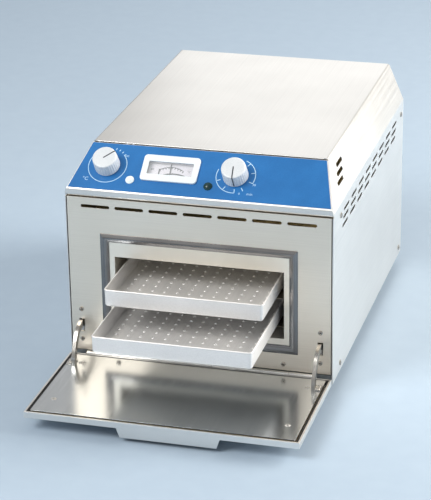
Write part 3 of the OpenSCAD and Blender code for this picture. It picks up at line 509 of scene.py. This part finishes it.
KNOB_GAP, KNOB_STEPS = 0.6, 256
FLUTES, FLUTE_DEPTH = 32, 0.45
POINTER_WIDTH, POINTER_THICK = 1.4, 0.3
KNOB_PROFILE = [(0, 0), (15.5, 0), (15.9, 0.3), (16.0, 0.8), (15.9, 3.0), (15.5, 15.2), (15.35, 17),
                (15.1, 17.9), (14.6, 18.5), (13.9, 18.85), (13.0, 18.95), (11.8, 18.85),
                (5, 18.65), (0, 18.6)]
POINTER_LINE = [(-1.5, 18.65), (5, 18.7), (11.8, 18.9), (13.0, 19.0), (13.95, 18.9),
                (14.67, 18.55), (15.2, 17.95), (15.47, 17), (15.6, 15.2), (16.03, 1.5)]
KNOBS = {"temperature_knob": (*TEMPERATURE_KNOB, -49), "timer_knob": (*TIMER_KNOB, -175)}
for node, (across, slope, turn) in KNOBS.items():
    place = on_panel(across, slope, turn, FOIL_TOP + KNOB_GAP)
    knob = turned(node + "_turned", KNOB_PROFILE, place, KNOB_STEPS, FLUTES, FLUTE_DEPTH)
    dress(knob, node)
    pointer = ribbon(node + "_pointer", POINTER_LINE, POINTER_WIDTH, POINTER_THICK, place)
    dress(pointer, node, False, INK_DARK)
    print(node, "points", -turn, "degrees clockwise from up")

# %% [markdown]
# Some sheet edges are hemmed: the sheet is folded back on itself, so it ends in a small round
# bead that catches the light as one bright line. The cover has one above the panel, and the
# door's inner plate has one along its front and its two sides.

# %% Roll the hems of the cover and the door plate
HEM_EASE, HEM_STEPS = 0.2, 20


def hem(name, node, start, end, radius):
    """A round bead of a radius in mm between two points in metres, with eased ends."""
    along = Vector(end) - Vector(start)
    length = along.length / MM
    profile = [(0, 0), (radius - HEM_EASE, 0), (radius, HEM_EASE), (radius, length - HEM_EASE),
               (radius - HEM_EASE, length), (0, length)]
    turn = Vector((0, 0, 1)).rotation_difference(along).to_matrix().to_4x4()
    piece = turned(name, profile, Matrix.Translation(start) @ turn, HEM_STEPS)
    print(name, round(length, 1), "mm long")
    return dress(piece, node, False, FINISHES["stainless_satin"])


# Radii in millimetres, half the length of the cover's hem, and where the plate's sides stop
COVER_HEM, PLATE_HEM = 0.75, 0.8
HEM_HALF, HEM_END = 144.5 * MM, 4 * MM
cover_edge = (FRONT + PANEL_RUN, LIP_Z + PANEL_RISE - COVER_HEM * MM)
hem("cover_front_hem", "housing_cover", (-HEM_HALF, *cover_edge), (HEM_HALF, *cover_edge),
    COVER_HEM)
plate_low, plate_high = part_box("door_plate")
inset = (PLATE_ROOM + PLATE_HEM) * MM
left, right = plate_low.x + inset, plate_high.x - inset
front, back = plate_low.y + inset, plate_high.y - HEM_END
level = plate_high.z - PLATE_HEM * MM
hem("door_plate_hem_front", "door_plate", (left, front, level), (right, front, level), PLATE_HEM)
hem("door_plate_hem_left", "door_plate", (left, front, level), (left, back, level), PLATE_HEM)
hem("door_plate_hem_right", "door_plate", (right, front, level), (right, back, level), PLATE_HEM)

# %% [markdown]
# A pilot lamp is a moulded lens with a rim and a low dome, whose face has fine rings that
# spread the light of the lamp behind it. The rings are real steps in the turned profile.

# %% Turn the pilot lamps
LENS_PROFILE = [(0, -4), (4.9, -4), (4.9, 0), (5.5, 0), (5.5, 0.8), (5.3, 1.1), (4.7, 1.2),
                (4.5, 1.6), (3.9, 1.7), (3.7, 2.2), (3.1, 2.3), (2.9, 2.65), (2.2, 2.75),
                (2.0, 2.95), (1.3, 3.05), (1.1, 3.15), (0, 3.2)]
LENS_STEPS = 48
LAMPS = {"pilot_lamp_clear": CLEAR_LAMP, "pilot_lamp_green": GREEN_LAMP}
for node, spot in LAMPS.items():
    dress(turned(node + "_lens", LENS_PROFILE, on_panel(*spot), LENS_STEPS), node)
print("lamp lenses:", len(LAMPS))

# %% [markdown]
# Node trees can also grow geometry. Each tree below has named inputs for its sizes, and a helper
# runs it on a start mesh and keeps the result as a plain mesh, because the modifier must not
# stay on a finished piece. Three small helpers do what the trees need most: make a vector, lift
# a shape and join shapes.

# %% Helpers that grow a piece from a node tree
def new_growth(name, inputs):
    """A geometry tree with named inputs, given as name: (socket type, default)."""
    tree = bpy.data.node_groups.new(name, "GeometryNodeTree")
    tree.interface.new_socket("Geometry", in_out="INPUT", socket_type="NodeSocketGeometry")
    for label, (kind, default) in inputs.items():
        socket = tree.interface.new_socket(label, in_out="INPUT", socket_type="NodeSocket" + kind)
        if default is not None:
            socket.default_value = default
    tree.interface.new_socket("Geometry", in_out="OUTPUT", socket_type="NodeSocketGeometry")
    given = add(tree, "NodeGroupInput").outputs
    return tree, given


def vector(tree, **parts):
    """A vector from its X, Y and Z, where what isn't given is zero."""
    return add(tree, "ShaderNodeCombineXYZ", parts).outputs[0]


def lifted(tree, geometry, height):
    """A shape moved up by a height."""
    return add(tree, "GeometryNodeTransform",
               {"Geometry": geometry, "Translation": vector(tree, Z=height)}).outputs[0]


def joined(tree, *shapes):
    """Several shapes as one."""
    whole = add(tree, "GeometryNodeJoinGeometry")
    for shape in shapes:
        tree.links.new(shape, whole.inputs[0])
    return whole.outputs[0]


def close_growth(tree, geometry, material):
    """Ends a tree in real geometry with its material."""
    real = add(tree, "GeometryNodeRealizeInstances", {"Geometry": geometry})
    painted = add(tree, "GeometryNodeSetMaterial",
                  {"Geometry": real.outputs[0], "Material": material})
    add(tree, "NodeGroupOutput", {0: painted.outputs[0]})


def grown(name, tree, start, settings):
    """Runs a tree on a start mesh, with a value for each named input, and keeps the result."""
    piece = to_object(name, start)
    modifier = piece.modifiers.new("growth", "NODES")
    modifier.node_group = tree
    for item in tree.interface.items_tree:
        if item.in_out == "INPUT" and item.name in settings:
            modifier[item.identifier] = settings[item.name]
    return applied(piece)


print("node trees so far:", len(bpy.data.node_groups))

# %% [markdown]
# The screws are pan heads with a cross recess. The tree models one screw: a cylinder whose top
# falls towards its rim as the square of the distance, a cross cut into it by two crossed bars,
# and a shank below. A boolean is right here, because the recess really is pressed into the head.

# %% Draw one screw in a node tree
HEAD_SIDES, SHANK_SIDES = 24, 16
SCREWS, given = new_growth("screws", {
    "Head radius": ("Float", 0.003), "Head height": ("Float", 0.0018), "Dome": ("Float", 0.0008),
    "Slot length": ("Float", 0.0045), "Slot width": ("Float", 0.0013),
    "Slot depth": ("Float", 0.0017), "Shank radius": ("Float", 0.0017),
    "Shank length": ("Float", 0.005), "Seed": ("Int", 1), "Finish": ("Material", None),
})
head = add(SCREWS, "GeometryNodeMeshCylinder",
           {"Vertices": HEAD_SIDES, "Side Segments": 3, "Fill Segments": 3,
            "Radius": given["Head radius"], "Depth": given["Head height"]})
spot = add(SCREWS, "ShaderNodeSeparateXYZ",
           {0: add(SCREWS, "GeometryNodeInputPosition").outputs[0]}).outputs
reach = add(SCREWS, "ShaderNodeVectorMath", {0: vector(SCREWS, X=spot["X"], Y=spot["Y"])},
            operation="LENGTH")
share = maths(SCREWS, "DIVIDE", reach.outputs["Value"], given["Head radius"])
fall = maths(SCREWS, "MULTIPLY", given["Dome"], maths(SCREWS, "POWER", share, 2.0))
upper = add(SCREWS, "FunctionNodeCompare", {0: spot["Z"], 1: 0.0},
            data_type="FLOAT", operation="GREATER_THAN")
domed = add(SCREWS, "GeometryNodeSetPosition",
            {"Geometry": head.outputs["Mesh"], "Selection": upper.outputs[0],
             "Offset": vector(SCREWS, Z=maths(SCREWS, "SUBTRACT", 0.0, fall))})
half_head = maths(SCREWS, "MULTIPLY", given["Head height"], 0.5)
bar_height = maths(SCREWS, "MULTIPLY", given["Slot depth"], 2.0)
cut = add(SCREWS, "GeometryNodeMeshBoolean", {"Mesh 1": domed.outputs[0]},
          operation="DIFFERENCE")
for across, along in (("Slot length", "Slot width"), ("Slot width", "Slot length")):
    size = vector(SCREWS, X=given[across], Y=given[along], Z=bar_height)
    bar = add(SCREWS, "GeometryNodeMeshCube", {"Size": size})
    SCREWS.links.new(lifted(SCREWS, bar.outputs["Mesh"], half_head), cut.inputs["Mesh 2"])
shank = add(SCREWS, "GeometryNodeMeshCylinder",
            {"Vertices": SHANK_SIDES, "Radius": given["Shank radius"],
             "Depth": given["Shank length"]})
half_shank = maths(SCREWS, "MULTIPLY", given["Shank length"], -0.5)
shank_middle = maths(SCREWS, "SUBTRACT", half_shank, half_head)
screw = joined(SCREWS, cut.outputs["Mesh"],
               lifted(SCREWS, shank.outputs["Mesh"], shank_middle))
print("a head has", HEAD_SIDES, "sides and a shank", SHANK_SIDES)

# %% [markdown]
# The screw is then hung under each point of the start mesh, so that the point is the middle of
# its outer face, and turned to face the way that the point's own attribute says. A seeded random
# angle spins each one, as no fitter lines the crosses up.

# %% Set a screw on every point
hung = lifted(SCREWS, screw, maths(SCREWS, "MULTIPLY", half_head, -1.0))
outward = add(SCREWS, "GeometryNodeInputNamedAttribute", {"Name": "outward"},
              data_type="FLOAT_VECTOR")
facing = add(SCREWS, "FunctionNodeAlignRotationToVector", {"Vector": outward.outputs[0]},
             axis="Z")
placed = add(SCREWS, "GeometryNodeInstanceOnPoints",
             {"Points": given["Geometry"], "Instance": hung, "Rotation": facing.outputs[0]})
spin = add(SCREWS, "FunctionNodeRandomValue", {2: 0.0, 3: math.tau, "Seed": given["Seed"]},
           data_type="FLOAT")
spun = add(SCREWS, "GeometryNodeRotateInstances",
           {"Instances": placed.outputs[0], "Rotation": vector(SCREWS, Z=spin.outputs[1])})
close_growth(SCREWS, spun.outputs[0], given["Finish"])
print("the screw tree has", len(SCREWS.nodes), "nodes")

# %% [markdown]
# Where the screws sit is measured from their solids. One node holds all screws of a kind as loose
# islands of one mesh, so the islands are walked one by one, and each gives the outer end of its
# box. They are taken in the mesh's own order, so that each screw gets the same spin in every run.
# The screws in the cover's sides face left or right, whichever side they are on.

# %% Find the outer end of every screw
SCREW_FACING = {"cover_screws": None, "fascia_screws": Vector((0, -1, 0)),
                "door_screws": Vector((0, 0, 1)), "back_screws": Vector((0, 1, 0)),
                "foot_screws": Vector((0, 0, -1))}


def island(start, left):
    """All corners that edges join to a corner, taken out of those that are left."""
    left.discard(start)
    found, border = set(), [start]
    while border:
        vert = border.pop()
        found.add(vert)
        for link in vert.link_edges:
            other = link.other_vert(vert)
            if other in left:
                left.discard(other)
                border.append(other)
    return found


def screw_tips(node):
    """The outer end of every screw of a node, with the direction in which it faces."""
    shape = welded(frame["nodes"][node].data)
    left = set(shape.verts)
    tips = []
    for first in shape.verts:
        if first not in left:
            continue
        low, high = box_of(island(first, left))
        middle, half_size = (low + high) / 2, (high - low) / 2
        out = SCREW_FACING[node] or Vector((math.copysign(1, middle.x), 0, 0))
        tips.append((middle + Vector([a * b for a, b in zip(half_size, out)]), out))
    shape.free()
    return tips


SCREW_TIPS = {node: screw_tips(node) for node in SCREW_FACING}
print("screws found:", {node: len(tips) for node, tips in SCREW_TIPS.items()})

# %% [markdown]
# All screws come from the one tree, with other sizes for each kind. The recess and the dome are
# shares of the head's own radius and height, as they are on real screws.

# %% Grow the screws
# Head radius, head height and shank length in millimetres
SCREW_SIZES = {"cover_screws": (3.6, 1.6, 5), "fascia_screws": (3, 1.9, 3.4),
               "door_screws": (3.4, 1.3, 6), "back_screws": (3.2, 1.8, 4),
               "foot_screws": (3.2, 2.2, 10)}
SLOT_LENGTH, SLOT_WIDTH = 1.5, 0.42
SLOT_DEPTH, DOME = 0.95, 0.45
SCREW_SMOOTH = 30
for seed, (node, (radius, height, length)) in enumerate(SCREW_SIZES.items()):
    start = bpy.data.meshes.new(node)
    start.from_pydata([tip for tip, out in SCREW_TIPS[node]], [], [])
    facing_field = start.attributes.new("outward", "FLOAT_VECTOR", "POINT")
    for row, (tip, out) in zip(facing_field.data, SCREW_TIPS[node]):
        row.vector = out
    piece = grown(node + "_pan_heads", SCREWS, start, {
        "Head radius": radius * MM, "Head height": height * MM, "Dome": DOME * height * MM,
        "Slot length": SLOT_LENGTH * radius * MM, "Slot width": SLOT_WIDTH * radius * MM,
        "Slot depth": SLOT_DEPTH * height * MM, "Shank length": length * MM, "Seed": seed,
        "Finish": FINISHES["zinc_screw"]})
    smooth(piece.data, SCREW_SMOOTH)
    dress(piece, node, True, OTHER_FINISH.get(node))
    print(node, len(piece.data.polygons), "faces")

# %% [markdown]
# The trays are drawn aluminium pans whose floor is punched in straight columns and rows. Filling
# a flat curve that holds hundreds of small circles leaves a hole for each, so the pattern is
# exact and light, and each hole gets the raised rim that the punch leaves.

# %% Draw the perforated floor in a node tree
HOLE_SIDES, RIM_SIDES, CORNER_STEPS = 10, 5, 6
FLOOR, given = new_growth("perforated_floor", {
    "Width": ("Float", 0.19), "Length": ("Float", 0.28), "Corner radius": ("Float", 0.0012),
    "Column pitch": ("Float", 0.0158), "Row pitch": ("Float", 0.0146), "Columns": ("Int", 12),
    "Rows": ("Int", 19), "Hole radius": ("Float", 0.0017), "Thickness": ("Float", 0.0012),
    "Rim radius": ("Float", 0.0005), "Finish": ("Material", None),
})
edge = add(FLOOR, "GeometryNodeCurvePrimitiveQuadrilateral",
           {"Width": given["Width"], "Height": given["Length"]})
corners = add(FLOOR, "GeometryNodeFilletCurve",
              {"Curve": edge.outputs[0], "Radius": given["Corner radius"], "Count": CORNER_STEPS},
              mode="POLY")
spans = []
for count, pitch in (("Columns", "Column pitch"), ("Rows", "Row pitch")):
    gaps = maths(FLOOR, "SUBTRACT", given[count], 1.0)
    spans.append(maths(FLOOR, "MULTIPLY", gaps, given[pitch]))
spots = add(FLOOR, "GeometryNodeMeshGrid",
            {"Size X": spans[0], "Size Y": spans[1], "Vertices X": given["Columns"],
             "Vertices Y": given["Rows"]})
hole = add(FLOOR, "GeometryNodeCurvePrimitiveCircle",
           {"Resolution": HOLE_SIDES, "Radius": given["Hole radius"]})
holes = add(FLOOR, "GeometryNodeInstanceOnPoints",
            {"Points": spots.outputs[0], "Instance": hole.outputs[0]})
loops = add(FLOOR, "GeometryNodeRealizeInstances", {"Geometry": holes.outputs[0]})
drawing = joined(FLOOR, corners.outputs[0], loops.outputs[0])
skin = add(FLOOR, "GeometryNodeFillCurve", {"Curve": drawing}, mode="TRIANGLES")
thick = add(FLOOR, "GeometryNodeExtrudeMesh",
            {"Mesh": skin.outputs[0], "Offset Scale": given["Thickness"], "Individual": False})
under = add(FLOOR, "GeometryNodeFlipFaces", {"Mesh": skin.outputs[0]})
rim_section = add(FLOOR, "GeometryNodeCurvePrimitiveCircle",
                  {"Resolution": RIM_SIDES, "Radius": given["Rim radius"]})
rim = add(FLOOR, "GeometryNodeCurveToMesh",
          {"Curve": hole.outputs[0], "Profile Curve": rim_section.outputs[0]})
rims = add(FLOOR, "GeometryNodeInstanceOnPoints",
           {"Points": spots.outputs[0],
            "Instance": lifted(FLOOR, rim.outputs[0], given["Thickness"])})
close_growth(FLOOR, joined(FLOOR, thick.outputs["Mesh"], under.outputs[0], rims.outputs[0]),
             given["Finish"])
print("the floor tree has", len(FLOOR.nodes), "nodes")

# %% [markdown]
# A pan's wall has a small radius at its foot, rises straight, and ends in a rolled bead. Its
# cross-section is drawn once from three arcs and swept round a rectangle with round corners.

# %% Helpers that sweep the wall of a tray
# In millimetres: how far the bead stands past the wall, and the radii of foot, corner and bead
WALL_OUT, FOOT, CORNER, TRAY_SHEET = 0.8, 3.0, 5.0, 1.2
BEAD_RADIUS, BEAD_IN = 1.1, 0.3
SWEEP_STEPS = 8


def arc(centre, radius, start, end, count):
    """Points of an arc in a plane, with the angles in degrees."""
    return [(centre[0] + radius * math.cos(math.radians(start + (end - start) * i / count)),
             centre[1] + radius * math.sin(math.radians(start + (end - start) * i / count)))
            for i in range(count + 1)]


def tray_wall(low, high):
    """The wall of a pan between its box corners, swept round its outline."""
    height = (high.z - low.z) / MM
    bead = (-BEAD_IN, height - BEAD_RADIUS)
    section = (arc((-FOOT, FOOT), FOOT, 270, 360, 4)
               + arc(bead, BEAD_RADIUS, -60, 215, 9)
               + arc((-FOOT, FOOT), FOOT - TRAY_SHEET, 360, 270, 3))
    half_x = (high.x - low.x) / 2 / MM - CORNER
    half_y = (high.y - low.y) / 2 / MM - CORNER
    middle = (low + high) / 2
    stations = []
    for x, y, start in ((half_x, half_y, 0), (-half_x, half_y, 90),
                        (-half_x, -half_y, 180), (half_x, -half_y, 270)):
        for i in range(SWEEP_STEPS + 1):
            turn = math.radians(start + 90 * i / SWEEP_STEPS)
            stations.append((x, y, math.cos(turn), math.sin(turn)))
    shape = bmesh.new()
    rings = [[shape.verts.new((middle.x + (x + u * (CORNER - WALL_OUT + out)) * MM,
                               middle.y + (y + v * (CORNER - WALL_OUT + out)) * MM,
                               low.z + rise * MM)) for out, rise in section]
             for x, y, u, v in stations]
    for here, there in zip(rings, rings[1:] + rings[:1]):
        for i in range(len(section)):
            j = (i + 1) % len(section)
            shape.faces.new((here[i], there[i], there[j], here[j]))
    bmesh.ops.recalc_face_normals(shape, faces=shape.faces)
    return shape


print("tray corners take", SWEEP_STEPS, "steps each")

# %% [markdown]
# Each pan takes its size from the box of its solid, so it fits its rails. The floor ends where
# the foot's radius starts, and floor and wall are joined into one piece.

# %% Make the two trays
HOLE_COLUMNS, HOLE_ROWS = 12, 19
COLUMN_PITCH, ROW_PITCH = 15.8, 14.6
HOLE_RADIUS, RIM_RADIUS = 1.7, 0.5
FLOOR_INSET = WALL_OUT + FOOT
for node in ("upper_tray", "lower_tray"):
    low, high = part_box(node)
    size = (high - low) / MM
    floor = grown(node + "_floor", FLOOR, bpy.data.meshes.new(node), {
        "Width": (size.x - 2 * FLOOR_INSET) * MM, "Length": (size.y - 2 * FLOOR_INSET) * MM,
        "Corner radius": (CORNER - FLOOR_INSET) * MM, "Column pitch": COLUMN_PITCH * MM,
        "Row pitch": ROW_PITCH * MM, "Columns": HOLE_COLUMNS, "Rows": HOLE_ROWS,
        "Hole radius": HOLE_RADIUS * MM, "Thickness": TRAY_SHEET * MM,
        "Rim radius": RIM_RADIUS * MM, "Finish": FINISHES["tray_aluminium"]})
    floor.data.transform(Matrix.Translation(((low.x + high.x) / 2, (low.y + high.y) / 2, low.z)))
    shape = tray_wall(low, high)
    shape.from_mesh(floor.data)
    bpy.data.objects.remove(floor)
    pan = as_object(node + "_pan", shape, Matrix())
    smooth(pan.data)
    dress(pan, node)
    print(node, len(pan.data.polygons), "faces")

# %% [markdown]
# The print on the foil is a thin layer of ink: a ring round each knob with its ticks, and a few
# plain numbers and units. One tree draws an arc with ticks, from its radius, its start and sweep
# and the number of ticks, and the same tree draws the scale of the thermometer.

# %% Draw a printed scale in a node tree
SCALE, given = new_growth("printed_scale", {
    "Radius": ("Float", 0.024), "Start": ("Float", 0.0), "Sweep": ("Float", 3.14),
    "Line width": ("Float", 0.0006), "Ink": ("Float", 0.0001), "Ticks": ("Int", 7),
    "Tick start": ("Float", 0.0), "Tick sweep": ("Float", 3.14), "Tick length": ("Float", 0.004),
    "Tick middle": ("Float", 0.0), "Finish": ("Material", None),
})
strip = add(SCALE, "GeometryNodeCurvePrimitiveQuadrilateral",
            {"Width": given["Line width"], "Height": given["Ink"]})
bow = add(SCALE, "GeometryNodeCurveArc",
          {"Resolution": 48, "Radius": given["Radius"], "Start Angle": given["Start"],
           "Sweep Angle": given["Sweep"]},
          mode="RADIUS")
line = add(SCALE, "GeometryNodeCurveToMesh",
           {"Curve": bow.outputs[0], "Profile Curve": strip.outputs[0], "Fill Caps": True})
middle = maths(SCALE, "ADD", given["Radius"], given["Tick middle"])
marks = add(SCALE, "GeometryNodeCurveArc",
            {"Resolution": given["Ticks"], "Radius": middle,
             "Start Angle": given["Tick start"], "Sweep Angle": given["Tick sweep"]},
            mode="RADIUS")
dots = add(SCALE, "GeometryNodeCurveToPoints", {"Curve": marks.outputs[0]}, mode="EVALUATED")
tick_size = vector(SCALE, X=given["Tick length"], Y=given["Line width"], Z=given["Ink"])
tick = add(SCALE, "GeometryNodeMeshCube", {"Size": tick_size})
radial = add(SCALE, "FunctionNodeAlignRotationToVector",
             {"Vector": add(SCALE, "GeometryNodeInputPosition").outputs[0]}, axis="X")
ticks = add(SCALE, "GeometryNodeInstanceOnPoints",
            {"Points": dots.outputs[0], "Instance": tick.outputs["Mesh"],
             "Rotation": radial.outputs[0]})
close_growth(SCALE, joined(SCALE, line.outputs[0], ticks.outputs[0]), given["Finish"])
print("the scale tree has", len(SCALE.nodes), "nodes")

# %% [markdown]
# Two helpers do the printing: one grows a scale from the tree, and one turns a few characters of
# the built-in plain font into a thin mesh. Both lay the ink on the panel at a given height.

# %% Helpers that print
INK_THICK = 0.1
# Size of the font over the height of its capitals
FONT_SHARE = 1.4


def scale(name, node, place, material, radius, start, sweep, width=1.0, ticks=2, tick_start=None,
          tick_sweep=None, tick_length=None, tick_middle=0):
    """One printed scale, with its sizes in mm and its angles in degrees from the right."""
    piece = grown(name, SCALE, bpy.data.meshes.new(name), {
        "Radius": radius * MM, "Start": math.radians(start), "Sweep": math.radians(sweep),
        "Line width": width * MM, "Ink": INK_THICK * MM, "Ticks": ticks,
        "Tick start": math.radians(start if tick_start is None else tick_start),
        "Tick sweep": math.radians(tick_sweep or sweep),
        "Tick length": (tick_length or width) * MM, "Tick middle": tick_middle * MM,
        "Finish": material})
    heights = [v.co.z / MM for v in piece.data.vertices]
    print(name, len(piece.data.polygons), "faces, ink", round(max(heights) - min(heights), 2), "mm")
    piece.data.transform(place)
    return dress(piece, node, False, material)


def printed(name, node, text, across, slope, height, material, out=FOIL_TOP):
    """A few printed characters of a height in mm, centred on a place of the panel."""
    letters = bpy.data.curves.new(name, "FONT")
    letters.body = text
    letters.size = FONT_SHARE * height * MM
    letters.extrude = INK_THICK / 2 * MM
    letters.resolution_u = 2
    letters.align_x, letters.align_y = "CENTER", "CENTER"
    holder = to_object(name + "_letters", letters)
    mesh = seen_mesh(holder)
    bpy.data.objects.remove(holder)
    mesh.transform(on_panel(across, slope, 0, out))
    return dress(to_object(name, mesh), node, False, material)


print("ink is", INK_THICK, "mm thick")

# %% [markdown]
# The foil shows a pale ring round each knob. The ring of the temperature knob is one long arc,
# and the timer's has a gap, so it is two arcs. Ticks stand on the rings where the numbers are.

# %% Print the foil
RING_RADIUS = 24.4
temperature, timer = on_panel(*TEMPERATURE_KNOB), on_panel(*TIMER_KNOB)
scale("temperature_ring", "panel_foil", temperature, INK_BLUE, RING_RADIUS, 150, 255,
      ticks=4, tick_start=42, tick_sweep=34, tick_length=2.6, tick_middle=1.2)
scale("timer_ring", "panel_foil", timer, INK_BLUE, RING_RADIUS, 161, 115,
      ticks=3, tick_start=201, tick_sweep=75, tick_length=5.6, tick_middle=-2.6)
scale("timer_ring_right", "panel_foil", timer, INK_BLUE, RING_RADIUS, -22, 90,
      ticks=4, tick_start=-58, tick_sweep=110, tick_length=5, tick_middle=-2.6)
# Characters, place across and up the slope, and height in millimetres
FOIL_MARKS = {
    "degrees_mark": ("\u00b0C", -146.5, 15.5, 5), "temperature_mark": ("200", -101, 52.5, 2.8),
    "timer_mark_30": ("30", 66.5, 26, 3.2), "timer_mark_min": ("min", 63.5, 12.5, 3.6),
    "timer_mark_0": ("0", 50.5, 12, 3),
}
for name, (characters, across, slope, height) in FOIL_MARKS.items():
    printed(name, "panel_foil", characters, across, slope, height, INK_BLUE)
print("marks on the foil:", len(FOIL_MARKS))

# %% [markdown]
# The thermometer's dial is a printed card behind a clear window. It has a thin scale with fine
# ticks, a thick band below it, and a black needle that swings about a pin below the window.

# %% Print the thermometer's dial
# In millimetres: the panel's sheet, how far the card lies under it, and the card itself
PANEL_SHEET, DIAL_DROP, DIAL_CARD = 1.5, 3.2, 0.8
DIAL_TOP = DIAL_CARD + INK_THICK / 2 - PANEL_SHEET - DIAL_DROP
# Places on the panel: the needle's pin, the middle of the band's arc, and the end of the stop
NEEDLE_PIN, BAND_MIDDLE, STOP_END = (-41.5, 16.8), (-37, -4.6), (-57, 31.2)
scale("dial_scale", "meter_dial", on_panel(*NEEDLE_PIN, 0, DIAL_TOP), INK_DARK, 27.4, 56, 68,
      ticks=9, tick_length=2.6, tick_middle=-1.2)
scale("dial_band", "meter_dial", on_panel(*BAND_MIDDLE, 0, DIAL_TOP), INK_DARK, 39.4, 71, 38,
      width=1.8)
stop = ribbon("dial_stop", [(0, 0), (9.5, 0)], 1.6, INK_THICK, on_panel(*STOP_END, 0, DIAL_TOP))
dress(stop, "meter_dial", False, INK_DARK)
for name, characters, across in (("dial_mark_low", "50", -66),
                                 ("dial_mark_high", "\u00b0C", -19.5)):
    printed(name, "meter_dial", characters, across, 39.5, 3, INK_DARK, DIAL_TOP)
print("dial scale sits", round(-DIAL_TOP, 1), "mm under the panel sheet's face")

# %% [markdown]
# What is left keeps its solid shape. Each of these nodes still gets its own material.

# %% Paint the solids that stay
for node, solid_object in frame["nodes"].items():
    solid_object.data.materials.clear()
    solid_object.data.materials.append(FINISHES[SLOT_OF[node]])
print("solids that stay:", sum(not o.hide_render for o in frame["nodes"].values()))

# %% [markdown]
# The stage is a wide pale floor. Soft light comes from large area lamps, as in a product studio:
# a key from the upper left, a bright card on the right and a little behind that whitens the
# cabinet's side and its leaning part, and one behind that gives the top its sheen. A pale world
# fills the rest.

# %% Stage and light
FLOOR_REACH = 8
WORLD_TINT, WORLD_STRENGTH = "#ECEBEA", 0.62

floor_mesh = bpy.data.meshes.new("studio_floor")
floor_mesh.from_pydata([(x * FLOOR_REACH, y * FLOOR_REACH, 0)
                        for x, y in ((-1, -1), (1, -1), (1, 1), (-1, 1))], [], [(0, 1, 2, 3)])
studio_floor = to_object("studio_floor", floor_mesh)
studio_floor.data.materials.append(solid("pale_studio_paper", "#A4B6C8", "#A8BACB", 0.8, 3, 0.02))

world = bpy.data.worlds.new("studio")
world.use_nodes = True
background = world.node_tree.nodes["Background"].inputs
background["Color"].default_value = linear(WORLD_TINT)
background["Strength"].default_value = WORLD_STRENGTH
bpy.context.scene.world = world


def softbox(name, place, aim, size, power, tint):
    """A square area lamp at a place, aimed at a point."""
    data = bpy.data.lights.new(name, "AREA")
    data.color = linear(tint)[:3]
    data.size = size
    data.energy = power
    made = bpy.data.objects.new(name, data)
    bpy.context.scene.collection.objects.link(made)
    made.location = place
    made.rotation_euler = (Vector(aim) - Vector(place)).to_track_quat("-Z", "Y").to_euler()


# Place, aim and size in metres, power in watts, and tint
SOFTBOXES = {
    "key_light": ((-1.4, -1.8, 2.2), (0, 0, 0.15), 1.4, 63, "#FFFDF9"),
    "side_card": ((1.9, 0.8, 1.0), (0.1, 0, 0.15), 1.5, 77, "#FFF9F0"),
    "back_card": ((-0.25, 2.0, 0.95), (0, 0.25, 0.25), 1.1, 3.6, "#FFFFFF"),
}
for name, settings in SOFTBOXES.items():
    softbox(name, *settings)
bpy.context.scene.view_settings.view_transform = "Standard"
print("lights:", len(SOFTBOXES))
